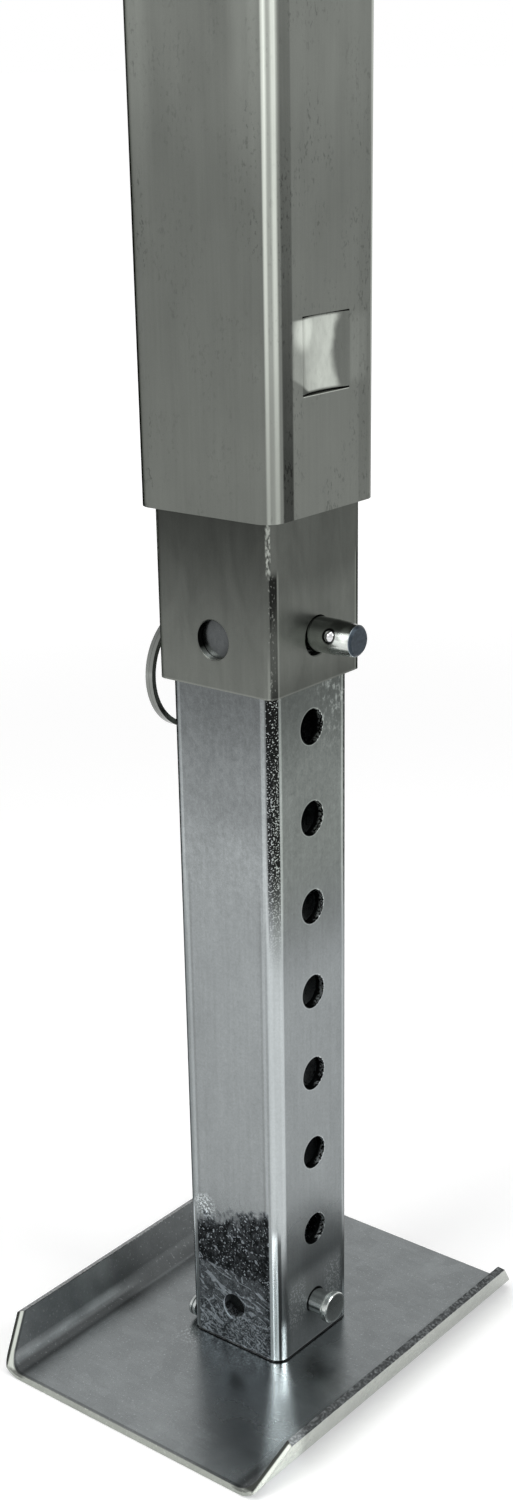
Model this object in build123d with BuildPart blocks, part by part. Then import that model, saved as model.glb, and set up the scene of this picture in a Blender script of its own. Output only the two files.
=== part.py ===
from build123d import *
import math
import os

# Drop-leg landing gear: a square outer tube that is welded to the trailer, a ram that a lead
# screw drives out of it, and a drop leg with a rocking foot that is pinned inside the ram.
# Millimetres, Z up. The origin is on the axis of the tubes, at the underside of the foot plate.
# X is the axis of the pins: their tips and the shown hole row face +X, the crank and ring -X.

os.makedirs("parts", exist_ok=True)

# Clearances
face_gap = 0.1
sliding_gap = 0.3
pivot_gap = 0.2
edge_break = 1.0

# Foot plate
foot_length = 190.5
foot_thickness = 3.2
foot_offset = 4.3
foot_flat_half_width = 61.2
foot_bend_radius = 8.5
flange_lean = 20.0
flange_rise = 21.6
flange_corner_cut = 16.9

# Foot bracket and foot pin
bracket_thickness = 3.2
bracket_depth = 26.0
bracket_crown = 11.0
ear_corner_radius = 9.0
foot_pin_height = 24.1
foot_pin_radius = 5.45
foot_pin_head_radius = 7.15
foot_pin_head_length = 3.2
foot_pin_reach = 11.1
foot_pin_tail_radius = 6.2
foot_pin_tail_length = 4.2
foot_pin_tail_gap = 0.8
foot_pin_tail_bevel = 1.2
foot_pin_groove_width = 0.6
foot_pin_groove_depth = 0.4
leg_side_hole_radius = 5.6

# Stud on the -X face of the leg, beside its front corner
stud_height = 9.4
stud_corner_place = 6.95
stud_radius = 4.7
stud_rim = 1.6
stud_groove_radius = 3.6
stud_groove_width = 0.7
stud_foot = 1.4
stud_shank_radius = 2.5
stud_tail_length = 1.0
stud_bevel = 0.5

# Drop leg
leg_side_gap = 0.275
leg_wall = 4.0
leg_corner_radius = 5.5
leg_foot_gap = 1.0
leg_hole_radius = 7.15
leg_hole_pitch = 38.1
leg_hole_count = 8
lowest_hole_height = 60.8
leg_travel_count = 6
leg_headroom = 12.0

# Pull pin, its ball and its ring
pull_pin_radius = 6.8
pull_pin_tip = 48.1
pull_pin_lead_length = 9.5
pull_pin_lead_drop = 0.7
pull_pin_chamfer = 1.0
pull_pin_end = 44.0
pull_pin_collar_radius = 9.5
pull_pin_collar_length = 3.0
ball_radius = 2.5
ball_show = 1.0
ball_place = 38.3
ball_lift_angle = 16.0
ball_bore_gap = 0.1
ball_travel = 0.9
ball_spring_length = 4.2
ball_spring_wire = 0.5
ball_spring_pitch = 1.05
ring_radius = 23.4
ring_wire_width = 2.2
ring_wire_thickness = 1.7
ring_turns = 1.97
ring_hole_radius = 3.2
ring_place = 37.4

# Ram tube
ram_side_gap = 1.225
ram_wall = 2.9
ram_corner_radius = 4.0
ram_hole_radius = 7.7
ram_hole_edge = 0.4
ram_hole_height = 19.2
ram_showing = 67.3
ram_travel = 317.5

# Outer tube, with its pressed guide pads
outer_size = 66.0
outer_wall = 3.2
outer_corner_radius = 7.5
outer_length = 500.0
pad_height = 26.5
pad_width = 28.0
pad_place = 56.9
pad_depth = 2.4
pad_slit = 0.6

# Top cap and its screws
cap_thickness = 4.0
cap_wall = 2.0
cap_skirt = 16.0
cap_edge = 1.5
cap_screw_radius = 2.5
cap_screw_head_width = 8.0
cap_screw_head_height = 3.0
cap_screw_length = 7.0

# Bevel gears: the wheel fills the tube but for its side gap, which makes a module of 2.75
wheel_side_gap = 3.53
pinion_teeth = 14
wheel_teeth = 18
pressure_angle = 20.0
tooth_face = 9.5
addendum_share = 0.9
dedendum_share = 1.15
backlash = 0.4
tooth_seat = 0.8
flank_facets = 4
blank_step = 0.4
wheel_back = 3.0
wheel_hub_radius = 14.0
wheel_hub_end = 31.0
pinion_hub_radius = 11.0
pinion_hub_end = 7.0

# Crank shaft and its bushes
shaft_radius = 8.0
shaft_drop = 42.0
bush_wall = 3.0
bush_flange_radius = 14.5
bush_flange = 2.0
washer_thickness = 1.5
washer_radius = 13.0
clip_thickness = 1.2
clip_radius = 12.0
clip_groove_depth = 1.0
shaft_tail = 3.0
roll_pin_radius = 2.0
roll_pin_wall = 0.8
roll_pin_inset = 0.5

# Lead screw, lift nut and thrust bearing
screw_radius = 11.0
screw_collar_radius = 18.0
screw_collar = 6.0
journal_radius = 9.0
spigot_radius = 7.0
spigot_gap = 6.0
screw_tail = 8.0
stop_ring_radius = 15.0
stop_ring_height = 4.0
stop_groove_depth = 1.0
stop_groove_lip = 1.0
nut_flange = 4.0
nut_depth = 21.0
nut_clearance = 6.0
nut_pin_radius = 4.0
nut_pin_length = 10.0
bearing_plate_thickness = 8.0
plate_screw_radius = 3.0
plate_screw_length = 14.0
plate_screw_head_width = 10.0
plate_screw_head_height = 4.0
race_thickness = 2.5
race_radius = 17.5
roller_radius = 1.65
roller_length = 5.0
roller_count = 12
roller_circle = 13.4
cage_thickness = 1.6
cage_rim = 3.6

# Grease fitting
fitting_place = 14.0
fitting_thread_radius = 3.0
fitting_hex = 8.0
fitting_hex_height = 4.0
fitting_nipple_radius = 3.2
fitting_neck_radius = 2.2
fitting_neck_length = 2.5
fitting_height = 11.0

# Crank arm, its bolt and its grip
hub_radius = 13.0
hub_length = 31.0
arm_length = 180.0
arm_width = 28.0
arm_thickness = 8.0
rod_radius = 6.0
grip_length = 106.0
grip_radius = 15.0
grip_end_radius = 12.5
grip_waist = 1.5
grip_fillet = 3.0
retainer_radius = 9.0
retainer_thickness = 2.0
rod_tail = 2.0
bolt_radius = 4.0
bolt_head_width = 13.0
bolt_head_height = 5.3
nut_height = 6.5
bolt_tail = 2.0

# Each tube is as large as the one around it lets it be: 66, 57.15 and 50.8
ram_size = outer_size - 2 * (outer_wall + ram_side_gap)
leg_size = ram_size - 2 * (ram_wall + leg_side_gap)

# Heights from the floor up
foot_top = foot_thickness
leg_bottom = foot_top + leg_foot_gap
pinned_hole = lowest_hole_height + (leg_hole_count - 1) * leg_hole_pitch
pull_pin_height = pinned_hole - (leg_hole_radius - pull_pin_radius) + face_gap / 2
ram_hole_centre = pull_pin_height + pull_pin_radius - ram_hole_radius + face_gap
ram_bottom = ram_hole_centre - ram_hole_height
outer_bottom = ram_bottom + ram_showing
outer_top = outer_bottom + outer_length
shaft_height = outer_top - shaft_drop

# The stack under the wheel, from the hub down to the lift nut
hub_seat = shaft_height - wheel_hub_end
wheel_washer_bottom = hub_seat - face_gap - washer_thickness
bearing_plate_top = wheel_washer_bottom - face_gap
bearing_plate_bottom = bearing_plate_top - bearing_plate_thickness
upper_race_top = bearing_plate_bottom - face_gap
roller_height = upper_race_top - race_thickness - face_gap - roller_radius
lower_race_top = roller_height - roller_radius - face_gap
lower_race_bottom = lower_race_top - race_thickness
collar_top = lower_race_bottom - face_gap
collar_bottom = collar_top - screw_collar
ram_top = collar_bottom - nut_clearance - nut_flange
nut_bottom = ram_top - nut_depth
leg_top = nut_bottom - leg_travel_count * leg_hole_pitch - leg_headroom
screw_bottom = nut_bottom - ram_travel - screw_tail

# Half widths
leg_half = leg_size / 2
leg_inner_half = leg_half - leg_wall
stud_side = leg_half - stud_corner_place
ram_half = ram_size / 2
ram_inner_half = ram_half - ram_wall
outer_half = outer_size / 2
outer_inner_half = outer_half - outer_wall

# Bevel gear cones
wheel_cone = math.atan2(wheel_teeth, pinion_teeth)
pinion_cone = math.pi / 2 - wheel_cone
wheel_modules = wheel_teeth / 2 + addendum_share * math.cos(wheel_cone)
gear_module = (outer_inner_half - wheel_side_gap) / wheel_modules
cone_distance = gear_module * math.hypot(wheel_teeth, pinion_teeth) / 2
addendum = addendum_share * gear_module
dedendum = dedendum_share * gear_module

# Places along the crank shaft, measured out from the axis of the tubes
bush_radius = shaft_radius + bush_wall
bush_face = outer_half + bush_flange
pinion_back = outer_inner_half - washer_thickness - 2 * face_gap
far_washer_end = bush_face + face_gap + washer_thickness
clip_start = far_washer_end + face_gap
shaft_end = clip_start + clip_thickness + shaft_tail
hub_start = bush_face + sliding_gap
hub_end = hub_start + hub_length
arm_inner_face = hub_end - arm_thickness
bolt_place = (hub_start + arm_inner_face) / 2
grip_start = hub_end + sliding_gap
grip_end = grip_start + grip_length
retainer_start = grip_end + sliding_gap
rod_end = retainer_start + retainer_thickness + rod_tail
grip_height = shaft_height - arm_length


def turned_on_x(height, steps):
    """Half section of a piece turned on an axis along X, from (start, end, radius) steps."""
    points = [(steps[0][0], height)]
    for start, end, radius in steps:
        points += [(start, height + radius), (end, height + radius)]
    return points + [(steps[-1][1], height)]


def turned_on_z(steps):
    """Half section of a piece turned on the Z axis, from (bottom, top, radius) steps."""
    points = [(0, steps[0][0])]
    for bottom, top, radius in steps:
        points += [(radius, bottom), (radius, top)]
    return points + [(0, steps[-1][1])]


def axis_along_x(height):
    return Axis((0, 0, height), (1, 0, 0))


def inner_corner(radius, wall):
    return max(radius - wall, wall / 2)


# The foot plate is one pressed plate: a flat sole, a flange bent up at each end, corners cut.
flange_angle = math.radians(flange_lean)
outer_bend = foot_bend_radius + foot_thickness
bend_centre = (foot_flat_half_width, outer_bend)
flange_face = (math.cos(flange_angle), -math.sin(flange_angle))
flange_up = (math.sin(flange_angle), math.cos(flange_angle))
inner_bend_end = (
    bend_centre[0] + foot_bend_radius * flange_face[0],
    bend_centre[1] + foot_bend_radius * flange_face[1],
)
outer_bend_end = (
    bend_centre[0] + outer_bend * flange_face[0],
    bend_centre[1] + outer_bend * flange_face[1],
)
flange_straight = (flange_rise - inner_bend_end[1]) / flange_up[1]
flange_inner_tip = (
    inner_bend_end[0] + flange_straight * flange_up[0],
    inner_bend_end[1] + flange_straight * flange_up[1],
)
flange_outer_tip = (
    outer_bend_end[0] + flange_straight * flange_up[0],
    outer_bend_end[1] + flange_straight * flange_up[1],
)
foot_near_end = -foot_offset - foot_length / 2
foot_far_end = -foot_offset + foot_length / 2
corner_cut_start = foot_top + face_gap
corner_cut_top = flange_rise + foot_thickness
corner_cut_slope = flange_corner_cut / (flange_rise - corner_cut_start)
corner_cut_depth = corner_cut_slope * (corner_cut_top - corner_cut_start)

with BuildPart() as foot_plate:
    with BuildSketch(Plane.XZ.offset(-foot_far_end)):
        with BuildLine():
            Line((0, 0), (foot_flat_half_width, 0))
            RadiusArc((foot_flat_half_width, 0), outer_bend_end, -outer_bend)
            Polyline(outer_bend_end, flange_outer_tip, flange_inner_tip, inner_bend_end)
            RadiusArc(inner_bend_end, (foot_flat_half_width, foot_top), foot_bend_radius)
            Polyline((foot_flat_half_width, foot_top), (0, foot_top), (0, 0))
        make_face()
        mirror(about=Plane.YZ)
    extrude(amount=foot_length)
    with BuildSketch(Plane.YZ):
        for end, inward in ((foot_near_end, 1), (foot_far_end, -1)):
            with BuildLine():
                Polyline(
                    (end, corner_cut_start),
                    (end + inward * corner_cut_depth, corner_cut_top),
                    (end - inward * foot_thickness, corner_cut_top),
                    (end - inward * foot_thickness, corner_cut_start),
                    close=True,
                )
            make_face()
    extrude(amount=flange_outer_tip[0] + foot_thickness, both=True, mode=Mode.SUBTRACT)
foot_plate.part.label = "foot_plate"
export_step(foot_plate.part, "parts/foot_plate.step")

# The bracket is a channel welded on the sole, and its two ears hang on the foot pin.
ear_half = leg_inner_half - sliding_gap
bracket_top = foot_pin_height + bracket_crown
foot_pin_hole = foot_pin_radius + pivot_gap

with BuildPart() as foot_bracket:
    with BuildSketch(Plane.XZ):
        with Locations((0, (foot_top + bracket_top) / 2)):
            Rectangle(2 * ear_half, bracket_top - foot_top)
        fillet(vertices().group_by(Axis.Z)[0], bracket_thickness)
        with Locations((0, (foot_top + bracket_thickness + bracket_top) / 2)):
            Rectangle(
                2 * (ear_half - bracket_thickness),
                bracket_top - foot_top - bracket_thickness,
                mode=Mode.SUBTRACT,
            )
    extrude(amount=bracket_depth / 2, both=True)
    with BuildSketch(Plane.YZ):
        with Locations((0, (foot_top + bracket_top) / 2)):
            Rectangle(bracket_depth, bracket_top - foot_top)
        fillet(vertices().group_by(Axis.Z)[-1], ear_corner_radius)
    extrude(amount=leg_half, both=True, mode=Mode.INTERSECT)
    with BuildSketch(Plane.YZ):
        with Locations((0, foot_pin_height)):
            Circle(foot_pin_hole)
    extrude(amount=leg_half, both=True, mode=Mode.SUBTRACT)
foot_bracket.part.label = "foot_bracket"
export_step(foot_bracket.part, "parts/foot_bracket.step")

# The foot pin has a collared head on the +X side and a staked tail on the -X side.
head_start = leg_half + foot_pin_reach - foot_pin_head_length
head_end = leg_half + foot_pin_reach
tail_start = -leg_half - foot_pin_tail_gap - foot_pin_tail_length
tail_end = -leg_half - foot_pin_tail_gap
groove_start = head_start + foot_pin_groove_width
groove_end = groove_start + foot_pin_groove_width

with BuildPart() as foot_pin:
    with BuildSketch(Plane.XZ):
        with BuildLine():
            Polyline(
                *turned_on_x(
                    foot_pin_height,
                    [
                        (tail_start, tail_end, foot_pin_tail_radius),
                        (tail_end, head_start, foot_pin_radius),
                        (head_start, groove_start, foot_pin_head_radius),
                        (groove_start, groove_end, foot_pin_head_radius - foot_pin_groove_depth),
                        (groove_end, head_end, foot_pin_head_radius),
                    ],
                ),
                close=True,
            )
        make_face()
    revolve(axis=axis_along_x(foot_pin_height))
    chamfer(edges().group_by(Axis.X)[-1], foot_pin_groove_depth)
    chamfer(edges().group_by(Axis.X)[0], foot_pin_tail_bevel)
foot_pin.part.label = "foot_pin"
export_step(foot_pin.part, "parts/foot_pin.step")

# The drop leg is a square tube with a row of pin holes right through the X walls.
leg_holes = [lowest_hole_height + step * leg_hole_pitch for step in range(leg_hole_count)]

with BuildPart() as drop_leg:
    with BuildSketch(Plane.XY.offset(leg_bottom)):
        RectangleRounded(leg_size, leg_size, leg_corner_radius)
        RectangleRounded(
            2 * leg_inner_half,
            2 * leg_inner_half,
            inner_corner(leg_corner_radius, leg_wall),
            mode=Mode.SUBTRACT,
        )
    extrude(amount=leg_top - leg_bottom)
    with BuildSketch(Plane.YZ):
        with Locations(*[(0, height) for height in leg_holes]):
            Circle(leg_hole_radius)
        with Locations((0, foot_pin_height)):
            Circle(foot_pin_hole)
    extrude(amount=leg_size, both=True, mode=Mode.SUBTRACT)
    with BuildSketch(Plane.XZ):
        with Locations((0, foot_pin_height)):
            Circle(leg_side_hole_radius)
    extrude(amount=leg_size, both=True, mode=Mode.SUBTRACT)
    with BuildSketch(Plane.YZ):
        with Locations((-stud_side, stud_height)):
            Circle(stud_shank_radius + face_gap)
    extrude(amount=-leg_size, mode=Mode.SUBTRACT)
drop_leg.part.label = "drop_leg"
export_step(drop_leg.part, "parts/drop_leg.step")

# The stud is pressed into the leg's wall beside the bracket, with a groove behind its head.
stud_face = -leg_half - face_gap
stud_tail_end = -leg_inner_half + stud_tail_length
stud_end = stud_face - stud_foot - stud_groove_width - stud_rim

with BuildPart() as leg_stud:
    with BuildSketch(Plane.XZ.offset(stud_side)):
        with BuildLine():
            Polyline(
                *turned_on_x(
                    stud_height,
                    [
                        (stud_end, stud_end + stud_rim, stud_radius),
                        (stud_end + stud_rim, stud_face - stud_foot, stud_groove_radius),
                        (stud_face - stud_foot, stud_face, stud_radius),
                        (stud_face, stud_tail_end, stud_shank_radius),
                    ],
                ),
                close=True,
            )
        make_face()
    revolve(axis=Axis((0, -stud_side, stud_height), (1, 0, 0)))
    chamfer(edges().group_by(Axis.X)[0] + edges().group_by(Axis.X)[-1], stud_bevel)
leg_stud.part.label = "leg_stud"
export_step(leg_stud.part, "parts/leg_stud.step")

# The ram tube slides in the outer tube and takes the drop leg. It is cross-drilled for the pin.
nut_pin_height = ram_top - nut_depth / 2

with BuildPart() as ram_tube:
    with BuildSketch(Plane.XY.offset(ram_bottom)):
        RectangleRounded(ram_size, ram_size, ram_corner_radius)
        RectangleRounded(
            2 * ram_inner_half,
            2 * ram_inner_half,
            inner_corner(ram_corner_radius, ram_wall),
            mode=Mode.SUBTRACT,
        )
    extrude(amount=ram_top - ram_bottom)
    with BuildSketch(Plane.YZ):
        with Locations((0, ram_hole_centre)):
            Circle(ram_hole_radius)
    extrude(amount=ram_size, both=True, mode=Mode.SUBTRACT)
    with BuildSketch(Plane.XZ):
        with Locations((0, ram_hole_centre)):
            Circle(ram_hole_radius)
        with Locations((0, nut_pin_height)):
            Circle(nut_pin_radius + face_gap)
    extrude(amount=ram_size, both=True, mode=Mode.SUBTRACT)
    chamfer(
        [
            edge
            for edge in edges().filter_by(GeomType.CIRCLE)
            if math.isclose(edge.radius, ram_hole_radius)
            and max(abs(edge.arc_center.X), abs(edge.arc_center.Y)) > ram_half - ram_hole_edge
        ],
        ram_hole_edge,
    )
ram_tube.part.label = "ram_tube"
export_step(ram_tube.part, "parts/ram_tube.step")

# The lift nut sits on the end of the ram, and its square body fits inside the tube.
nut_body = 2 * (ram_inner_half - face_gap)
nut_corner = inner_corner(ram_corner_radius, ram_wall)

with BuildPart() as lift_nut:
    with BuildSketch(Plane.XY.offset(ram_top)):
        RectangleRounded(ram_size, ram_size, ram_corner_radius)
    extrude(amount=nut_flange)
    with BuildSketch(Plane.XY.offset(nut_bottom)):
        RectangleRounded(nut_body, nut_body, nut_corner)
    extrude(amount=nut_depth)
    with BuildSketch(Plane.XY.offset(nut_bottom)):
        Circle(screw_radius + sliding_gap)
    extrude(amount=nut_depth + nut_flange, mode=Mode.SUBTRACT)
    with BuildSketch(Plane.XZ):
        with Locations((0, nut_pin_height)):
            Circle(nut_pin_radius + face_gap)
    extrude(amount=ram_size, both=True, mode=Mode.SUBTRACT)
lift_nut.part.label = "lift_nut"
export_step(lift_nut.part, "parts/lift_nut.step")

# Two pins, flush with the faces of the ram, hold the lift nut in it.
nut_pin_end = ram_half - face_gap

with BuildPart() as nut_pins:
    with BuildSketch(Plane.XZ.offset(nut_pin_end - nut_pin_length)):
        with Locations((0, nut_pin_height)):
            Circle(nut_pin_radius)
    extrude(amount=nut_pin_length)
    mirror(about=Plane.XZ)
nut_pins.part.label = "nut_pins"
export_step(nut_pins.part, "parts/nut_pins.step")

# The pull pin: a collar that stops it on the ram, a tapered lead, a ball and a ring hole.
collar_face = -ram_half - sliding_gap
lead_start = pull_pin_tip - pull_pin_chamfer - pull_pin_lead_length
lead_radius = pull_pin_radius - pull_pin_lead_drop
ball_angle = math.radians(ball_lift_angle)
ball_direction = (0, -math.cos(ball_angle), math.sin(ball_angle))
ball_centre_radius = pull_pin_radius + ball_show - ball_radius
spring_top = ball_centre_radius - ball_radius - face_gap
spring_foot = spring_top - ball_spring_length
ball_bore_end = spring_foot - ball_travel - face_gap


def on_ball_axis(radius):
    """Point at a distance from the pull pin's axis, on the line that the ball moves along."""
    return (
        ball_place,
        ball_direction[1] * radius,
        pull_pin_height + ball_direction[2] * radius,
    )


with BuildPart() as pull_pin:
    with BuildSketch(Plane.XZ):
        with BuildLine():
            outline = turned_on_x(
                pull_pin_height,
                [
                    (-pull_pin_end, collar_face - pull_pin_collar_length, pull_pin_radius),
                    (collar_face - pull_pin_collar_length, collar_face, pull_pin_collar_radius),
                    (collar_face, lead_start, pull_pin_radius),
                ],
            )
            Polyline(
                *outline[:-1],
                (pull_pin_tip - pull_pin_chamfer, pull_pin_height + lead_radius),
                (pull_pin_tip, pull_pin_height + lead_radius - pull_pin_chamfer),
                (pull_pin_tip, pull_pin_height),
                close=True,
            )
        make_face()
    revolve(axis=axis_along_x(pull_pin_height))
    chamfer(edges().group_by(Axis.X)[0], pull_pin_chamfer)
    with BuildSketch(Plane(origin=on_ball_axis(ball_bore_end), z_dir=ball_direction)):
        Circle(ball_radius + ball_bore_gap)
    extrude(amount=2 * pull_pin_radius, mode=Mode.SUBTRACT)
    with BuildSketch(Plane.XZ):
        with Locations((-ring_place, pull_pin_height)):
            Circle(ring_hole_radius)
    extrude(amount=2 * pull_pin_radius, both=True, mode=Mode.SUBTRACT)
pull_pin.part.label = "pull_pin"
export_step(pull_pin.part, "parts/pull_pin.step")

with BuildPart() as detent_ball:
    with Locations(on_ball_axis(ball_centre_radius)):
        Sphere(ball_radius)
detent_ball.part.label = "detent_ball"
export_step(detent_ball.part, "parts/detent_ball.step")

# The ball's spring moves with the ball and keeps the ball's travel free at its foot.
spring_coil_radius = ball_radius - ball_spring_wire

with BuildPart() as detent_spring:
    with BuildLine() as spring_path:
        Helix(
            pitch=ball_spring_pitch,
            height=ball_spring_length - ball_spring_wire,
            radius=spring_coil_radius,
            center=on_ball_axis(spring_foot + ball_spring_wire / 2),
            direction=ball_direction,
        )
    with BuildSketch(Plane(origin=spring_path.line @ 0, z_dir=spring_path.line % 0)):
        RegularPolygon(ball_spring_wire / 2, 4)
    sweep(is_frenet=True)
detent_spring.part.label = "detent_spring"
export_step(detent_spring.part, "parts/detent_spring.step")

# The split ring is one flat wire wound in two turns, its two ends at the foot of the ring.
# It hangs in the pin's cross hole, seated where its two layers meet the round of the hole.
ring_pitch = ring_wire_thickness + face_gap
ring_length = ring_turns * ring_pitch
ring_half_width = (ring_pitch + ring_wire_thickness) / 2 + face_gap
ring_seat = math.sqrt((ring_hole_radius - face_gap) ** 2 - ring_half_width**2)
ring_rise = math.sqrt((ring_radius - ring_wire_width / 2) ** 2 - pull_pin_radius**2)
ring_centre_height = pull_pin_height - ring_seat - ring_rise

with BuildPart() as ring_coil:
    with BuildLine() as ring_path:
        Helix(
            pitch=ring_pitch,
            height=ring_length,
            radius=ring_radius,
            center=(0, 0, -ring_length / 2),
            direction=(0, 0, 1),
        )
    with BuildSketch(
        Plane(origin=ring_path.line @ 0, x_dir=(0, 0, 1), z_dir=ring_path.line % 0)
    ):
        Rectangle(ring_wire_thickness, ring_wire_width)
    sweep(is_frenet=True)

with BuildPart() as split_ring:
    with Locations(Location((-ring_place, 0, ring_centre_height), (0, 90, 0))):
        add(ring_coil.part)
split_ring.part.label = "split_ring"
export_step(split_ring.part, "parts/split_ring.step")

# The outer tube has two guide pads, each pressed in between two slits to steady the ram.
pad_bottom = outer_bottom + pad_place - pad_height / 2
pad_inner_face = ram_half + sliding_gap
bush_bore = bush_radius + face_gap
cap_screw_height = outer_top - cap_skirt / 2
plate_screw_height = (bearing_plate_top + bearing_plate_bottom) / 2
fitting_height_on_tube = shaft_height + fitting_place

with BuildPart() as outer_tube:
    with BuildSketch(Plane.XY.offset(outer_bottom)):
        RectangleRounded(outer_size, outer_size, outer_corner_radius)
        RectangleRounded(
            2 * outer_inner_half,
            2 * outer_inner_half,
            inner_corner(outer_corner_radius, outer_wall),
            mode=Mode.SUBTRACT,
        )
    extrude(amount=outer_length)
    with BuildSketch(Plane.YZ):
        with Locations((0, pad_bottom + pad_height / 2)):
            Rectangle(pad_width, pad_height + 2 * pad_slit)
    extrude(amount=outer_size, both=True, mode=Mode.SUBTRACT)
    with BuildSketch(Plane.XY.offset(pad_bottom)):
        with BuildLine():
            ThreePointArc(
                (outer_half, -pad_width / 2),
                (outer_half - pad_depth, 0),
                (outer_half, pad_width / 2),
            )
            Line((outer_half, pad_width / 2), (outer_inner_half, pad_width / 2))
            ThreePointArc(
                (outer_inner_half, pad_width / 2),
                (pad_inner_face, 0),
                (outer_inner_half, -pad_width / 2),
            )
            Line((outer_inner_half, -pad_width / 2), (outer_half, -pad_width / 2))
        make_face()
        mirror(about=Plane.YZ)
    extrude(amount=pad_height)
    with BuildSketch(Plane.YZ):
        with Locations((0, shaft_height)):
            Circle(bush_bore)
    extrude(amount=outer_size, both=True, mode=Mode.SUBTRACT)
    with BuildSketch(Plane.YZ):
        with Locations((0, cap_screw_height)):
            Circle(cap_screw_radius + face_gap)
        with Locations((0, plate_screw_height)):
            Circle(plate_screw_radius + face_gap)
    extrude(amount=outer_size, both=True, mode=Mode.SUBTRACT)
    with BuildSketch(Plane.XZ):
        with Locations((0, fitting_height_on_tube)):
            Circle(fitting_thread_radius + face_gap)
    extrude(amount=outer_size, mode=Mode.SUBTRACT)
outer_tube.part.label = "outer_tube"
export_step(outer_tube.part, "parts/outer_tube.step")

# The top cap lies on the end of the tube, flush with its faces, and its skirt goes inside. The
# screws and bushes are all in the X walls, so that the Y walls lie flat where they are welded.
cap_bottom = outer_top + face_gap
skirt_size = 2 * (outer_inner_half - face_gap)
skirt_corner = inner_corner(outer_corner_radius, outer_wall)

with BuildPart() as top_cap:
    with BuildSketch(Plane.XY.offset(cap_bottom)):
        RectangleRounded(outer_size, outer_size, outer_corner_radius)
    extrude(amount=cap_thickness)
    chamfer(faces().sort_by(Axis.Z)[-1].edges(), cap_edge)
    with BuildSketch(Plane.XY.offset(cap_bottom)):
        RectangleRounded(skirt_size, skirt_size, skirt_corner)
        RectangleRounded(
            skirt_size - 2 * cap_wall,
            skirt_size - 2 * cap_wall,
            inner_corner(skirt_corner, cap_wall),
            mode=Mode.SUBTRACT,
        )
    extrude(amount=-cap_skirt)
    with BuildSketch(Plane.YZ):
        with Locations((0, cap_screw_height)):
            Circle(cap_screw_radius + face_gap)
    extrude(amount=outer_size, both=True, mode=Mode.SUBTRACT)
top_cap.part.label = "top_cap"
export_step(top_cap.part, "parts/top_cap.step")


def side_screw(height, seat, shank_radius, shank_length, head_width, head_height):
    """A hexagon screw driven in along -X, its head seated on the plane X = seat."""
    with BuildPart() as screw:
        with BuildSketch(Plane.YZ.offset(seat - shank_length)):
            with Locations((0, height)):
                Circle(shank_radius)
        extrude(amount=shank_length)
        with BuildSketch(Plane.YZ.offset(seat)):
            with Locations((0, height)):
                RegularPolygon(head_width / 2, 6, major_radius=False)
        extrude(amount=head_height)
    return screw.part


one_cap_screw = side_screw(
    cap_screw_height,
    outer_half,
    cap_screw_radius,
    cap_screw_length,
    cap_screw_head_width,
    cap_screw_head_height,
)
one_plate_screw = side_screw(
    plate_screw_height,
    outer_half,
    plate_screw_radius,
    plate_screw_length,
    plate_screw_head_width,
    plate_screw_head_height,
)

with BuildPart() as cap_screws:
    with PolarLocations(0, 2):
        add(one_cap_screw)
cap_screws.part.label = "cap_screws"
export_step(cap_screws.part, "parts/cap_screws.step")

with BuildPart() as plate_screws:
    with PolarLocations(0, 2):
        add(one_plate_screw)
plate_screws.part.label = "plate_screws"
export_step(plate_screws.part, "parts/plate_screws.step")

# The grease fitting feeds the gears through the -Y wall.
neck_start = outer_half + fitting_hex_height
neck_end = neck_start + fitting_neck_length
nipple_end = outer_half + fitting_height

with BuildPart() as grease_fitting:
    with BuildSketch(Plane.XZ.offset(outer_half)):
        with Locations((0, fitting_height_on_tube)):
            RegularPolygon(fitting_hex / 2, 6, major_radius=False)
    extrude(amount=fitting_hex_height)
    with BuildSketch(Plane.YZ):
        with BuildLine():
            Polyline(
                (-outer_half, fitting_height_on_tube + fitting_thread_radius),
                (-outer_inner_half, fitting_height_on_tube + fitting_thread_radius),
                (-outer_inner_half, fitting_height_on_tube),
                (-nipple_end, fitting_height_on_tube),
                (-nipple_end, fitting_height_on_tube + fitting_neck_radius / 2),
                (-(neck_end + nipple_end) / 2, fitting_height_on_tube + fitting_nipple_radius),
                (-neck_end, fitting_height_on_tube + fitting_neck_radius),
                (-neck_start, fitting_height_on_tube + fitting_neck_radius),
                (-outer_half, fitting_height_on_tube + fitting_neck_radius),
                close=True,
            )
        make_face()
    revolve(axis=Axis((0, 0, fitting_height_on_tube), (0, 1, 0)))
grease_fitting.part.label = "grease_fitting"
export_step(grease_fitting.part, "parts/grease_fitting.step")

# The bearing plate fills the tube and takes the thrust of the lead screw.
plate_size = 2 * (outer_inner_half - face_gap)
screw_hole_depth = plate_screw_length - outer_wall + face_gap

with BuildPart() as bearing_plate:
    with BuildSketch(Plane.XY.offset(bearing_plate_bottom)):
        RectangleRounded(
            plate_size, plate_size, inner_corner(outer_corner_radius, outer_wall)
        )
        Circle(journal_radius + pivot_gap, mode=Mode.SUBTRACT)
    extrude(amount=bearing_plate_thickness)
    for side in (1, -1):
        with BuildSketch(Plane.YZ.offset(side * (outer_inner_half - screw_hole_depth))):
            with Locations((0, plate_screw_height)):
                Circle(plate_screw_radius + face_gap)
        extrude(amount=side * screw_hole_depth, mode=Mode.SUBTRACT)
bearing_plate.part.label = "bearing_plate"
export_step(bearing_plate.part, "parts/bearing_plate.step")


def flat_ring(bottom, thickness, bore, radius):
    """A flat ring on the axis of the tubes."""
    with BuildPart() as ring:
        with BuildSketch(Plane.XY.offset(bottom)):
            Circle(radius)
            Circle(bore, mode=Mode.SUBTRACT)
        extrude(amount=thickness)
    return ring.part


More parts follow.
